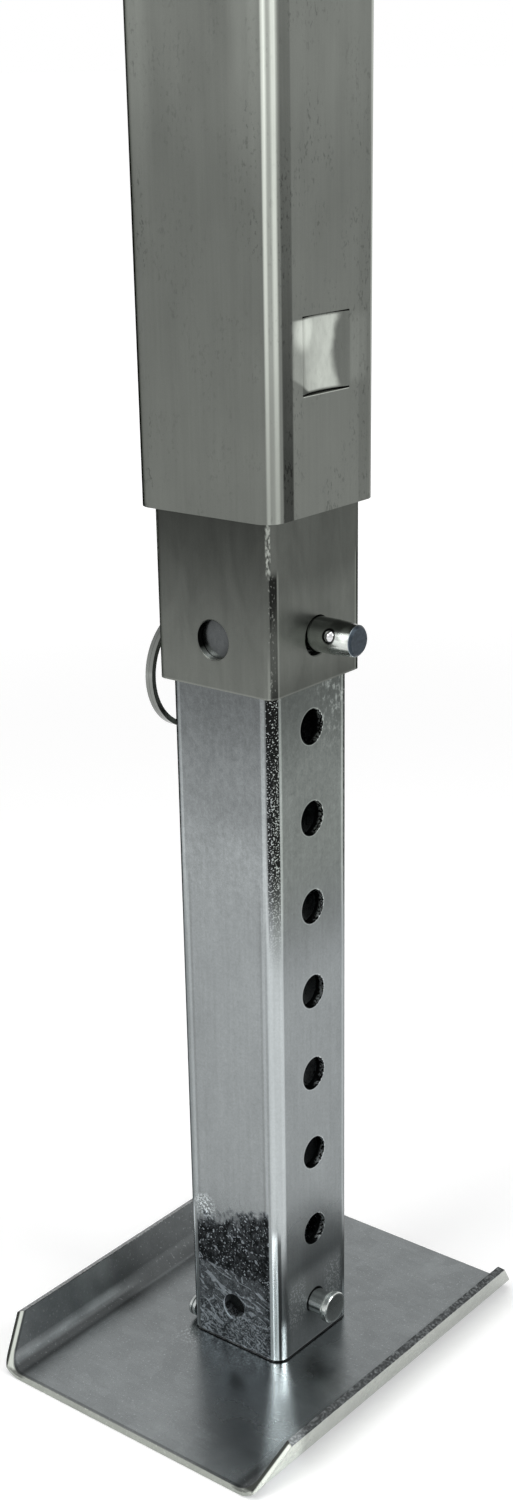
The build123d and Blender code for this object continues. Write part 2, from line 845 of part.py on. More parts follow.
upper_race_part = flat_ring(
    upper_race_top - race_thickness, race_thickness, journal_radius + pivot_gap, race_radius
)
lower_race_part = flat_ring(
    lower_race_bottom, race_thickness, journal_radius + face_gap, race_radius
)

with BuildPart() as upper_race:
    add(upper_race_part)
upper_race.part.label = "upper_race"
export_step(upper_race.part, "parts/upper_race.step")

with BuildPart() as lower_race:
    add(lower_race_part)
lower_race.part.label = "lower_race"
export_step(lower_race.part, "parts/lower_race.step")

# The cage carries the rollers round at half the speed of the screw.
pocket_length = roller_length + 2 * face_gap
pocket_width = 2 * (roller_radius + face_gap)

with BuildPart() as bearing_cage:
    with BuildSketch(Plane.XY.offset(roller_height - cage_thickness / 2)):
        Circle(roller_circle + cage_rim)
        Circle(roller_circle - cage_rim, mode=Mode.SUBTRACT)
        with PolarLocations(roller_circle, roller_count):
            Rectangle(pocket_length, pocket_width, mode=Mode.SUBTRACT)
    extrude(amount=cage_thickness)
bearing_cage.part.label = "bearing_cage"
export_step(bearing_cage.part, "parts/bearing_cage.step")

with BuildPart() as roller:
    with BuildSketch(Plane.YZ.offset(-roller_length / 2)):
        Circle(roller_radius)
    extrude(amount=roller_length)

with BuildPart() as bearing_rollers:
    with Locations((0, 0, roller_height)):
        with PolarLocations(roller_circle, roller_count):
            add(roller.part)
bearing_rollers.part.label = "bearing_rollers"
export_step(bearing_rollers.part, "parts/bearing_rollers.step")

# The lead screw: thread envelope, thrust collar, journal, and the spigot that takes the wheel.
spigot_top = shaft_height - shaft_radius - spigot_gap
wheel_pin_height = hub_seat + roll_pin_radius + edge_break
stop_ring_bottom = screw_bottom + stop_groove_lip
stop_ring_top = stop_ring_bottom + stop_ring_height
stop_groove_radius = screw_radius - stop_groove_depth

with BuildPart() as lead_screw:
    with BuildSketch(Plane.XZ):
        with BuildLine():
            Polyline(
                *turned_on_z(
                    [
                        (screw_bottom, stop_ring_bottom, screw_radius),
                        (stop_ring_bottom, stop_ring_top, stop_groove_radius),
                        (stop_ring_top, collar_bottom, screw_radius),
                        (collar_bottom, collar_top, screw_collar_radius),
                        (collar_top, hub_seat - face_gap, journal_radius),
                        (hub_seat - face_gap, spigot_top, spigot_radius),
                    ]
                ),
                close=True,
            )
        make_face()
    revolve(axis=Axis.Z)
    chamfer(edges().group_by(Axis.Z)[-1], edge_break)
    with BuildSketch(Plane.XZ):
        with Locations((0, wheel_pin_height)):
            Circle(roll_pin_radius + face_gap)
    extrude(amount=screw_collar_radius, both=True, mode=Mode.SUBTRACT)
lead_screw.part.label = "lead_screw"
export_step(lead_screw.part, "parts/lead_screw.step")

# A ring in a groove near the foot of the screw stops the nut from running off it.
stop_ring_part = flat_ring(
    stop_ring_bottom + face_gap,
    stop_ring_height - 2 * face_gap,
    stop_groove_radius + face_gap,
    stop_ring_radius,
)
wheel_washer_part = flat_ring(
    wheel_washer_bottom, washer_thickness, journal_radius + face_gap, wheel_hub_radius
)

with BuildPart() as stop_ring:
    add(stop_ring_part)
stop_ring.part.label = "stop_ring"
export_step(stop_ring.part, "parts/stop_ring.step")

with BuildPart() as wheel_washer:
    add(wheel_washer_part)
wheel_washer.part.label = "wheel_washer"
export_step(wheel_washer.part, "parts/wheel_washer.step")


def cone_point(cone, distance, height=0.0):
    """Radius and height of a point on a pitch cone, raised off it by height."""
    return (
        distance * math.sin(cone) + height * math.cos(cone),
        -distance * math.cos(cone) + height * math.sin(cone),
    )


def tooth_half_width(virtual_radius, radius):
    """Half width of an involute tooth of the virtual spur gear, at a radius of it."""
    base_radius = virtual_radius * math.cos(math.radians(pressure_angle))
    pitch_half_angle = (math.pi * gear_module - backlash) / (4 * virtual_radius)

    def roll(at_radius):
        angle = math.acos(min(1.0, base_radius / at_radius))
        return math.tan(angle) - angle

    half_angle = pitch_half_angle + roll(virtual_radius) - roll(max(radius, base_radius))
    return radius * math.sin(half_angle), radius * math.cos(half_angle) - virtual_radius


def bevel_wheel(teeth, cone, blank):
    """Straight bevel gear with its apex at the origin and its body below, along -Z."""
    virtual_radius = cone_distance * math.tan(cone)
    root = tooth_half_width(virtual_radius, virtual_radius - dedendum)
    base = virtual_radius * math.cos(math.radians(pressure_angle))
    flank_start = max(base, virtual_radius - dedendum + tooth_seat)
    flank_step = (virtual_radius + addendum - flank_start) / flank_facets
    flank = [
        tooth_half_width(virtual_radius, flank_start + step * flank_step)
        for step in range(flank_facets + 1)
    ]
    side = [(root[0], root[1] - tooth_seat), *flank]
    outline = side + [(-x, y) for x, y in reversed(side)]
    with BuildPart() as tooth:
        for distance in (cone_distance, cone_distance - tooth_face):
            scale = distance / cone_distance
            radius, height = cone_point(cone, distance)
            tooth_plane = Plane(
                origin=(radius, 0, height),
                x_dir=(0, 1, 0),
                z_dir=(math.sin(cone), 0, -math.cos(cone)),
            )
            with BuildSketch(tooth_plane):
                with BuildLine():
                    Polyline(*[(x * scale, y * scale) for x, y in outline], close=True)
                make_face()
        loft(ruled=True)
    with BuildPart() as wheel:
        with BuildSketch(Plane.XZ):
            with BuildLine():
                Polyline(*blank, close=True)
            make_face()
        revolve(axis=Axis.Z)
        with PolarLocations(0, teeth):
            add(tooth.part)
    return wheel.part


large_end = cone_distance - blank_step
small_end = cone_distance - tooth_face - blank_step
wheel_root_small = cone_point(wheel_cone, small_end, -dedendum * small_end / cone_distance)
wheel_root_large = cone_point(wheel_cone, large_end, -dedendum * large_end / cone_distance)
wheel_back_edge = cone_point(wheel_cone, large_end, -dedendum - wheel_back)
pinion_root_small = cone_point(pinion_cone, small_end, -dedendum * small_end / cone_distance)
pinion_root_large = cone_point(pinion_cone, large_end, -dedendum * large_end / cone_distance)

bevel_wheel_part = bevel_wheel(
    wheel_teeth,
    wheel_cone,
    [
        (spigot_radius + face_gap, wheel_root_small[1]),
        wheel_root_small,
        wheel_root_large,
        wheel_back_edge,
        (wheel_hub_radius, wheel_back_edge[1]),
        (wheel_hub_radius, -wheel_hub_end),
        (spigot_radius + face_gap, -wheel_hub_end),
    ],
)
bevel_pinion_part = bevel_wheel(
    pinion_teeth,
    pinion_cone,
    [
        (shaft_radius + face_gap, -pinion_hub_end),
        (pinion_hub_radius, -pinion_hub_end),
        (pinion_hub_radius, pinion_root_small[1]),
        pinion_root_small,
        pinion_root_large,
        (pinion_root_large[0] - addendum / 2, -pinion_back),
        (shaft_radius + face_gap, -pinion_back),
    ],
)

with BuildPart() as bevel_gear:
    with Locations((0, 0, shaft_height)):
        add(bevel_wheel_part)
    with BuildSketch(Plane.XZ):
        with Locations((0, wheel_pin_height)):
            Circle(roll_pin_radius + face_gap)
    extrude(amount=2 * wheel_hub_radius, both=True, mode=Mode.SUBTRACT)
bevel_gear.part.label = "bevel_gear"
export_step(bevel_gear.part, "parts/bevel_gear.step")

# The pinion is turned by half a tooth, so that a gap of it meets a tooth of the wheel.
half_tooth = 180 / pinion_teeth
pinion_pin_place = (pinion_hub_end + small_end * math.cos(pinion_cone)) / 2

with BuildPart() as bevel_pinion:
    with Locations(Location((0, 0, shaft_height), (0, 90, 0))):
        with Locations(Location((0, 0, 0), (0, 0, half_tooth))):
            add(bevel_pinion_part)
    with BuildSketch(Plane.XZ):
        with Locations((-pinion_pin_place, shaft_height)):
            Circle(roll_pin_radius + face_gap)
    extrude(amount=2 * pinion_hub_radius, both=True, mode=Mode.SUBTRACT)
bevel_pinion.part.label = "bevel_pinion"
export_step(bevel_pinion.part, "parts/bevel_pinion.step")


def roll_pin(place, height, length):
    """A slotted spring pin along Y."""
    with BuildPart() as pin:
        with BuildSketch(Plane.XZ):
            with Locations((place, height)):
                Circle(roll_pin_radius)
                Circle(roll_pin_radius - roll_pin_wall, mode=Mode.SUBTRACT)
            with Locations((place + roll_pin_radius, height)):
                Rectangle(2 * roll_pin_radius, roll_pin_wall, mode=Mode.SUBTRACT)
        extrude(amount=length / 2, both=True)
    return pin.part


gear_pin_part = roll_pin(0, wheel_pin_height, 2 * (wheel_hub_radius - roll_pin_inset))
pinion_pin_part = roll_pin(
    -pinion_pin_place, shaft_height, 2 * (pinion_hub_radius - roll_pin_inset)
)

with BuildPart() as gear_pin:
    add(gear_pin_part)
gear_pin.part.label = "gear_pin"
export_step(gear_pin.part, "parts/gear_pin.step")

with BuildPart() as pinion_pin:
    add(pinion_pin_part)
pinion_pin.part.label = "pinion_pin"
export_step(pinion_pin.part, "parts/pinion_pin.step")

# The crank shaft runs right through the tube. A clip on the +X side and the arm hold it.
clip_groove_radius = shaft_radius - clip_groove_depth
clip_groove_end = clip_start + clip_thickness + face_gap

with BuildPart() as crank_shaft:
    with BuildSketch(Plane.XZ):
        with BuildLine():
            Polyline(
                *turned_on_x(
                    shaft_height,
                    [
                        (-hub_end, clip_start, shaft_radius),
                        (clip_start, clip_groove_end, clip_groove_radius),
                        (clip_groove_end, shaft_end, shaft_radius),
                    ],
                ),
                close=True,
            )
        make_face()
    revolve(axis=axis_along_x(shaft_height))
    chamfer(edges().group_by(Axis.X)[-1], edge_break)
    with BuildSketch(Plane.XZ):
        with Locations((-pinion_pin_place, shaft_height)):
            Circle(roll_pin_radius + face_gap)
        with Locations((-bolt_place, shaft_height)):
            Circle(bolt_radius + face_gap)
    extrude(amount=2 * shaft_radius, both=True, mode=Mode.SUBTRACT)
crank_shaft.part.label = "crank_shaft"
export_step(crank_shaft.part, "parts/crank_shaft.step")


def flanged_bush(side):
    """Bronze bush in the wall on one side, side being 1 for +X and -1 for -X."""
    with BuildPart() as bush:
        with BuildSketch(Plane.YZ.offset(side * outer_inner_half)):
            with Locations((0, shaft_height)):
                Circle(bush_radius)
                Circle(shaft_radius + pivot_gap, mode=Mode.SUBTRACT)
        extrude(amount=side * outer_wall)
        with BuildSketch(Plane.YZ.offset(side * outer_half)):
            with Locations((0, shaft_height)):
                Circle(bush_flange_radius)
                Circle(shaft_radius + pivot_gap, mode=Mode.SUBTRACT)
        extrude(amount=side * bush_flange)
    return bush.part


def shaft_ring(start, thickness, bore, radius):
    """A flat ring on the crank shaft, from X = start outward by thickness."""
    with BuildPart() as ring:
        with BuildSketch(Plane.YZ.offset(start)):
            with Locations((0, shaft_height)):
                Circle(radius)
                Circle(bore, mode=Mode.SUBTRACT)
        extrude(amount=thickness)
    return ring.part


crank_side_bush_part = flanged_bush(-1)
far_side_bush_part = flanged_bush(1)
pinion_washer_part = shaft_ring(
    -outer_inner_half + face_gap, washer_thickness, shaft_radius + face_gap, washer_radius
)
far_washer_part = shaft_ring(
    bush_face + face_gap, washer_thickness, shaft_radius + face_gap, washer_radius
)

with BuildPart() as crank_side_bush:
    add(crank_side_bush_part)
crank_side_bush.part.label = "crank_side_bush"
export_step(crank_side_bush.part, "parts/crank_side_bush.step")

with BuildPart() as far_side_bush:
    add(far_side_bush_part)
far_side_bush.part.label = "far_side_bush"
export_step(far_side_bush.part, "parts/far_side_bush.step")

with BuildPart() as pinion_washer:
    add(pinion_washer_part)
pinion_washer.part.label = "pinion_washer"
export_step(pinion_washer.part, "parts/pinion_washer.step")

with BuildPart() as far_washer:
    add(far_washer_part)
far_washer.part.label = "far_washer"
export_step(far_washer.part, "parts/far_washer.step")

# The retaining clip is a ring with an open mouth.
with BuildPart() as shaft_clip:
    with BuildSketch(Plane.YZ.offset(clip_start + face_gap / 2)):
        with Locations((0, shaft_height)):
            Circle(clip_radius)
            Circle(clip_groove_radius + face_gap, mode=Mode.SUBTRACT)
        with Locations((0, shaft_height + clip_radius)):
            Rectangle(shaft_radius, 2 * clip_radius, mode=Mode.SUBTRACT)
    extrude(amount=clip_thickness)
shaft_clip.part.label = "shaft_clip"
export_step(shaft_clip.part, "parts/shaft_clip.step")

# The crank arm is a hub tube, a flat bar that hangs down at rest, and a round handle rod.
with BuildPart() as crank_arm:
    with BuildSketch(Plane.YZ.offset(-hub_end)):
        with Locations((0, shaft_height)):
            Circle(hub_radius)
    extrude(amount=hub_length)
    with BuildSketch(Plane.YZ.offset(-hub_end)):
        with Locations(Location((0, (shaft_height + grip_height) / 2), 90)):
            SlotCenterToCenter(arm_length, arm_width)
    extrude(amount=arm_thickness)
    with BuildSketch(Plane.YZ.offset(-rod_end)):
        with Locations((0, grip_height)):
            Circle(rod_radius)
    extrude(amount=rod_end - hub_end)
    chamfer(edges().group_by(Axis.X)[0], edge_break)
    with BuildSketch(Plane.YZ.offset(-hub_end)):
        with Locations((0, shaft_height)):
            Circle(shaft_radius + face_gap)
    extrude(amount=hub_length, mode=Mode.SUBTRACT)
    with BuildSketch(Plane.XZ):
        with Locations((-bolt_place, shaft_height)):
            Circle(bolt_radius + face_gap)
    extrude(amount=2 * hub_radius, both=True, mode=Mode.SUBTRACT)
crank_arm.part.label = "crank_arm"
export_step(crank_arm.part, "parts/crank_arm.step")

# The arm's bolt runs along Y through the hub and the shaft. Its head is on the -Y side.
with BuildPart() as arm_bolt:
    with BuildSketch(Plane.XZ.offset(-hub_radius - nut_height - bolt_tail)):
        with Locations((-bolt_place, shaft_height)):
            Circle(bolt_radius)
    extrude(amount=2 * hub_radius + nut_height + bolt_tail)
    with BuildSketch(Plane.XZ.offset(hub_radius)):
        with Locations((-bolt_place, shaft_height)):
            RegularPolygon(bolt_head_width / 2, 6, major_radius=False)
    extrude(amount=bolt_head_height)
arm_bolt.part.label = "arm_bolt"
export_step(arm_bolt.part, "parts/arm_bolt.step")

with BuildPart() as arm_nut:
    with BuildSketch(Plane.XZ.offset(-hub_radius - nut_height)):
        with Locations((-bolt_place, shaft_height)):
            RegularPolygon(bolt_head_width / 2, 6, major_radius=False)
            Circle(bolt_radius + face_gap, mode=Mode.SUBTRACT)
    extrude(amount=nut_height)
arm_nut.part.label = "arm_nut"
export_step(arm_nut.part, "parts/arm_nut.step")

# The grip is a moulded sleeve that turns freely on the handle rod.
grip_middle = (grip_start + grip_end) / 2

with BuildPart() as grip:
    with BuildSketch(Plane.XZ):
        with BuildLine():
            Polyline(
                (-grip_start, grip_height + rod_radius + pivot_gap),
                (-grip_start, grip_height + grip_end_radius),
                (-grip_start - grip_fillet, grip_height + grip_radius),
            )
            ThreePointArc(
                (-grip_start - grip_fillet, grip_height + grip_radius),
                (-grip_middle, grip_height + grip_radius - grip_waist),
                (-grip_end + grip_fillet, grip_height + grip_radius),
            )
            Polyline(
                (-grip_end + grip_fillet, grip_height + grip_radius),
                (-grip_end, grip_height + grip_end_radius),
                (-grip_end, grip_height + rod_radius + pivot_gap),
                (-grip_start, grip_height + rod_radius + pivot_gap),
            )
        make_face()
    revolve(axis=axis_along_x(grip_height))
grip.part.label = "grip"
export_step(grip.part, "parts/grip.step")

with BuildPart() as grip_retainer:
    with BuildSketch(Plane.YZ.offset(-retainer_start - retainer_thickness)):
        with Locations((0, grip_height)):
            Circle(retainer_radius)
            Circle(rod_radius + face_gap, mode=Mode.SUBTRACT)
    extrude(amount=retainer_thickness)
grip_retainer.part.label = "grip_retainer"
export_step(grip_retainer.part, "parts/grip_retainer.step")
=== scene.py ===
import math

import bpy
from mathutils import Matrix, Vector


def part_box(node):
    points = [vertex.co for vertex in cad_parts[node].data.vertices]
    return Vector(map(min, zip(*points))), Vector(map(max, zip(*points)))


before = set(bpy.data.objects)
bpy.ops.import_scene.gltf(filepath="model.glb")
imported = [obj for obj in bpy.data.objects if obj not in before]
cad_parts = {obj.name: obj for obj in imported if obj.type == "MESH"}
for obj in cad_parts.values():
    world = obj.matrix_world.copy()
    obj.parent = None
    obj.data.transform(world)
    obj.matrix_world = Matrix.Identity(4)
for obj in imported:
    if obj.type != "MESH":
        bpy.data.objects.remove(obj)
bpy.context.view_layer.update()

# The drop-leg landing gear in its studio. Metres, the CAD's frame: Z up, the origin under the
# foot plate, +X the face with the pin tips. Pattern sizes inside the materials are millimetres.

PHOTO_WIDTH = 513
PHOTO_HEIGHT = 1500
MM = 1000.0

# Camera, fitted to the photograph
CAMERA_PLACE = Vector((0.47562, -0.59044, 0.53004))
CAMERA_YAW = 39.11
CAMERA_PITCH = 23.51
CAMERA_ROLL = -1.05
FOCAL_LENGTH_PIXELS = 1991.81
CENTRE_PIXEL = (256.0, 921.12)
SENSOR_MM = 36.0
CLIP_START = 0.01

# Studio
FLOOR_HALF = 60.0
FLOOR_DROP = 0.0002
FLOOR_COLOR = (0.86, 0.86, 0.86, 1.0)
FLOOR_GLOW = 0.24
FLOOR_FAR_GLOW = 0.66
FLOOR_NEAR = 0.7
FLOOR_FAR = 2.2
BACKDROP_HORIZON = 1.0
BACKDROP_ZENITH = 0.62
BACKDROP_FADE = (0.15, 1.0)
DOME_LIGHT = 0.42
LAMPS = {
    "lamp_left": ((-0.4, -2.2, 1.9), 1.2, 26.0),
    "lamp_right": ((1.7, 0.2, 1.5), 1.0, 15.0),
    "lamp_top": ((0.1, -0.3, 2.3), 1.4, 17.0),
}
LAMP_AIM = Vector((0.0, 0.0, 0.35))

# Rounding of sharp edges: widths in mm, and the least angle in degrees
EDGE_WIDTHS = {"outer_tube": 0.4, "ram_tube": 0.35, "drop_leg": 0.35, "foot_plate": 0.5}
EDGE_ANGLE = 50.0

# Sizes of the CAD model that the patterns follow, in mm
OUTER_WALL = 29.0
OUTER_LEFT = -28.0
RAM_HALF = 28.4
RAM_LEFT = -25.0
LEG_LEFT = -22.0
LEG_GAP = 1.0
PAD_PLACE = 56.9
PAD_HEIGHT = 26.5
PAD_WIDTH = 28.0
PAD_SLIT = 0.6
RAM_HOLE_PLACE = 19.2
RAM_HOLE_RADIUS = 7.7
SHEET = 3.2
FLANGE_LEAN = 20.0
FOOT_FLAT_HALF = 61.2
FOOT_BEND = 8.5
CORNER_CUT_SLOPE = 0.921
LOWEST_HOLE = 60.8
HOLE_PITCH = 38.1
HOLE_RADIUS = 7.15
SIDE_HOLE_RADIUS = 5.6
LEG_HALF = 25.45
FOOT_PIN_HEIGHT = 24.1
FOOT_PIN_RADIUS = 5.45
FOOT_PIN_HEAD = 33.4
PIN_FACE = 46.9

# Places of the wear and of the painted light, in mm: a guide pad's painted reflection and its
# painted highlight spot, the leg's worn heights, the top of its painted corner highlights, its
# stained heights, the white spot over its stain, a painted glint on the pull pin, and the
# direction across the painted reflection streak that runs from the leg
SHEEN_LEFT = -20.2
SHEEN_RIGHT = 6.2
HIGHLIGHT_SPOT = (-12.5, 8.4)
WORN_START = 186.0
WORN_END = 240.0
BRIGHT_CORNER_TOP = 62.0
STAIN_TOP = 66.0
SCRATCH_TOP = 40.0
WHITE_SPOT = (-15.5, 69.5)
PIN_GLINT_PLACE = 45.0
STREAK_ACROSS = (0.782, 0.623)

# Tints
STEEL_TINT = (0.948, 1.0, 0.915)
ZINC_TINT = (0.92, 0.985, 1.0)
WORN_TINT = (0.92, 1.0, 0.95)
STAIN_TINT = (0.89, 0.98, 1.05)
FOOT_PIN_TINT = (0.95, 1.0, 0.97)
PULL_PIN_TINT = (0.95, 1.0, 0.95)
SAWN_TINT = (0.75, 0.95, 1.15)
PLASTIC_TINT = (1.0, 1.0, 1.05)


def ramp(nodes, links, value, starts, levels):
    """Node output that changes smoothly between two levels as value goes over two starts."""
    node = nodes.new("ShaderNodeMapRange")
    node.interpolation_type = "SMOOTHSTEP"
    for name, number in zip(("From Min", "From Max", "To Min", "To Max"), (*starts, *levels)):
        node.inputs[name].default_value = number
    links.new(value, node.inputs["Value"])
    return node.outputs[0]


class Finish:
    """A node material: one Principled shader, and helpers for the patterns that drive it."""

    def __init__(self, name, roughness, metallic=1.0):
        self.material = bpy.data.materials.new(name)
        self.material.use_nodes = True
        self.nodes = self.material.node_tree.nodes
        self.links = self.material.node_tree.links
        self.shader = self.nodes["Principled BSDF"]
        self.shader.inputs["Metallic"].default_value = metallic
        self.shader.inputs["Roughness"].default_value = roughness
        place = self.add("ShaderNodeTexCoord").outputs["Object"]
        self.point = self.scaled(place, (MM, MM, MM))
        axes = self.add("ShaderNodeSeparateXYZ", self.point)
        self.x, self.y, self.z = axes.outputs

    def add(self, kind, *values, **settings):
        node = self.nodes.new(kind)
        for name, value in settings.items():
            setattr(node, name, value)
        for socket, value in zip(node.inputs, values):
            self.put(socket, value)
        return node

    def put(self, socket, value):
        if isinstance(value, bpy.types.NodeSocket):
            self.links.new(value, socket)
        else:
            socket.default_value = value

    def math(self, operation, *values):
        return self.add("ShaderNodeMath", *values, operation=operation).outputs[0]

    def sum(self, first, *rest):
        for value in rest:
            first = self.math("ADD", first, value)
        return first

    def times(self, first, *rest):
        for value in rest:
            first = self.math("MULTIPLY", first, value)
        return first

    def absolute(self, value):
        return self.math("ABSOLUTE", value)

    def inverse(self, mask):
        """1 where a mask is 0, and 0 where it is 1."""
        return self.math("SUBTRACT", 1.0, mask)

    def change(self, *factors):
        """A factor for a tone: 1 plus the product of an amount and its masks."""
        return self.sum(1.0, self.times(*factors))

    def scaled(self, vector, factors):
        return self.add("ShaderNodeVectorMath", vector, factors, operation="MULTIPLY").outputs[0]

    def turned(self, vector, angles):
        node = self.add("ShaderNodeMapping", vector)
        node.inputs["Rotation"].default_value = [math.radians(angle) for angle in angles]
        return node.outputs[0]

    def noise(self, size, detail=2.0, roughness=0.5, distortion=0.0, vector=None):
        """Noise from 0 to 1 about one half. size is its grain in mm along X, Y and Z."""
        grain = self.scaled(vector or self.point, [1.0 / side for side in size])
        node = self.add("ShaderNodeTexNoise")
        self.put(node.inputs["Vector"], grain)
        node.inputs["Scale"].default_value = 1.0
        node.inputs["Detail"].default_value = detail
        node.inputs["Roughness"].default_value = roughness
        node.inputs["Distortion"].default_value = distortion
        return node.outputs[0]

    def cells(self, size):
        """A random colour for each of the crystal-like cells of that size in mm."""
        grain = self.scaled(self.point, [1.0 / side for side in size])
        node = self.add("ShaderNodeTexVoronoi")
        self.put(node.inputs["Vector"], grain)
        node.inputs["Scale"].default_value = 1.0
        return node.outputs["Color"]

    def step(self, value, start, end, low=0.0, high=1.0):
        """A smooth change from low to high as value goes from start to end."""
        return ramp(self.nodes, self.links, value, (start, end), (low, high))

    def fall(self, value, start, end):
        """A smooth change from 1 to 0 as value goes from start to end."""
        return self.step(value, start, end, 1.0, 0.0)

    def band(self, value, centre, half, soft):
        """1 within half of centre, falling smoothly to 0 over soft."""
        away = self.absolute(self.math("SUBTRACT", value, centre))
        return self.fall(away, half, half + soft)

    def mixed(self, factor, first, second):
        """A number between first and second, by a factor from 0 to 1."""
        return self.sum(first, self.times(factor, self.math("SUBTRACT", second, first)))

    def contours(self, pattern, count, width):
        """Thin curved lines that follow a pattern, count of them from its 0 to its 1."""
        return self.band(self.math("FRACT", self.times(pattern, count)), 0.5, width, width)

    def swing(self, pattern, amount):
        """A 0 to 1 pattern as a factor about 1, that varies by amount each way."""
        return self.math("MULTIPLY_ADD", pattern, 2.0 * amount, 1.0 - amount)

    def away(self, across, along, centre):
        """Distance from a hole's axis that runs through centre, in the plane of the two axes."""
        first = self.math("SUBTRACT", across, centre[0])
        second = self.math("SUBTRACT", along, centre[1])
        squares = self.sum(self.times(first, first), self.times(second, second))
        return self.math("SQRT", squares)

    def paint(self, tone, tint):
        """Base colour: a grey tone times a tint close to white."""
        color = self.add("ShaderNodeVectorMath", tint, operation="SCALE")
        self.put(color.inputs["Scale"], tone)
        self.put(self.shader.inputs["Base Color"], color.outputs[0])

    def blend(self, factor, first, second):
        """Blend of two colours, linear RGB."""
        node = self.add("ShaderNodeMix", data_type="RGBA")
        self.put(node.inputs[0], factor)
        for socket, color in ((node.inputs[6], first), (node.inputs[7], second)):
            if isinstance(color, tuple):
                color = (*color, 1.0)
            self.put(socket, color)
        return node.outputs[2]

    def roughen(self, *parts):
        """Roughness: the sum of the parts."""
        self.put(self.shader.inputs["Roughness"], self.sum(*parts))

    def bump(self, height, depth):
        """Relief of that depth in mm where height goes from 0 to 1."""
        previous = self.shader.inputs["Normal"].links
        node = self.add("ShaderNodeBump")
        node.inputs["Strength"].default_value = 1.0
        node.inputs["Distance"].default_value = depth / MM
        self.put(node.inputs["Height"], height)
        if previous:
            self.put(node.inputs["Normal"], previous[0].from_socket)
        self.put(self.shader.inputs["Normal"], node.outputs[0])

    def darken_rim(self, level, corner, left, fade, half, soft):
        """Grey the reflection near grazing angles, and blacken it round the left corners."""
        edge = self.times(
            self.fall(self.x, left, left + fade), self.band(corner, 0.0, half, soft)
        )
        self.put(self.shader.inputs["Specular Tint"], self.blend(edge, (level,) * 3, (0.0,) * 3))

    def dress(self, *nodes):
        for node in nodes:
            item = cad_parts[node]
            item.data.materials.clear()
            item.data.materials.append(self.material)


def corner_place(finish):
    """Distance round the nearest corner of a square tube, in mm: 0 on the corner, less than 0
    on the Y faces and more on the X faces."""
    return finish.math("SUBTRACT", finish.absolute(finish.x), finish.absolute(finish.y))


def drawn_steel(finish, grain=0.35, streak=1.4, run=45.0):
    """Tone patterns of drawn tube: long fine draw lines, a satin grain and broad clouds."""
    lines = finish.noise((streak, streak, run), detail=4.0, roughness=0.62)
    satin = finish.noise((grain, grain, grain), detail=1.0)
    clouds = finish.noise((16.0, 16.0, 35.2), detail=3.0)
    return lines, satin, clouds


def turned_metal(name, level, tint, roughness, nodes, grain=0.3, relief=0.004):
    """Plain turned, plated or oiled metal with a fine grain and soft clouds."""
    finish = Finish(name, roughness=roughness)
    fine = finish.noise((grain, grain, grain), detail=2.0)
    cloud = finish.noise((5.0, 5.0, 5.0), detail=2.0)
    finish.paint(finish.times(level, finish.swing(fine, 0.12), finish.swing(cloud, 0.12)), tint)
    finish.roughen(finish.times(cloud, 0.12), roughness - 0.06)
    finish.bump(fine, relief)
    finish.dress(*nodes)


def soften_edges(node, width):
    """Round a CAD node's sharp edges by a width in mm, so that they catch the light."""
    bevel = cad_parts[node].modifiers.new("edges", "BEVEL")
    bevel.width = width / MM
    bevel.segments = 2
    bevel.limit_method = "ANGLE"
    bevel.angle_limit = math.radians(EDGE_ANGLE)
    bevel.use_clamp_overlap = True


def bottom_of(node):
    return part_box(node)[0][2] * MM


outer_bottom = bottom_of("outer_tube")
ram_bottom = bottom_of("ram_tube")

# Outer tube: dull satin steel. Each rolled corner carries two painted highlight lines and a
# painted dark reflection line beside them, and the pressed guide pads carry a painted reflection.
outer = Finish("outer_steel", roughness=0.34)
lines, satin, clouds = drawn_steel(outer)
corner = corner_place(outer)
rise = outer.step(outer.z, outer_bottom, outer_bottom + 100.0, 0.36, 1.0)
upper = outer.step(outer.z, outer_bottom + 90.0, outer_bottom + 165.0)
# The painted dark reflection line on the corners, strongest on the front (-Y) corners
dark_line = outer.times(
    outer.step(outer.z, outer_bottom + 25.0, outer_bottom + 125.0, 0.115, 0.055),
    outer.step(outer.y, -5.0, 5.0, 1.0, 0.2),
)
tone = outer.times(
    outer.step(outer.z, outer_bottom + 105.0, outer_bottom + 170.0, 0.143, 0.176),
    outer.swing(lines, 0.10),
    outer.swing(satin, 0.08),
    outer.swing(clouds, 0.14),
)
pits = outer.times(
    outer.step(outer.noise((1.3, 1.3, 2.4), detail=3.0, roughness=0.6), 0.55, 0.68),
    outer.step(outer.noise((16.0, 16.0, 30.0), detail=2.0), 0.42, 0.60),
)
on_x = outer.step(corner, -1.0, 1.0)
# The X faces painted lighter than the Y faces
tone = outer.times(
    tone,
    outer.change(pits, outer.mixed(on_x, -0.14, -0.28)),
    outer.mixed(on_x, 0.97, 1.16),
)
beside = outer.band(corner, -7.0, 1.5, 3.0)
tone = outer.times(tone, outer.change(-0.3, beside, pits))
# Painted highlight and dark reflection lines along the corners, strongest on the +X corners, and
# painted shade on the edge of the left corners
seen = outer.step(outer.x, -20.0, 20.0, 0.25, 1.0)
left = outer.fall(outer.x, OUTER_LEFT, OUTER_LEFT + 2.0)
tone = outer.sum(
    tone,
    outer.times(0.32, seen, rise, outer.band(corner, -0.8, 0.3, 1.2)),
    outer.times(0.25, seen, upper, outer.band(corner, 0.0, 0.3, 0.9)),
    outer.times(0.15, seen, rise, outer.band(corner, 1.7, 2.8, 1.4)),
    outer.times(0.26, seen, rise, outer.band(corner, 4.0, 0.4, 1.6)),
    outer.times(0.16, seen, upper, outer.band(corner, 5.5, 0.3, 1.0)),
    outer.times(-1.0, dark_line, outer.band(corner, 10.2, 2.5, 1.0)),
    outer.times(0.05, upper, outer.band(corner, -7.0, 3.0, 8.0)),
    outer.times(-0.13, left, outer.band(corner, 0.0, 2.5, 1.5)),
)
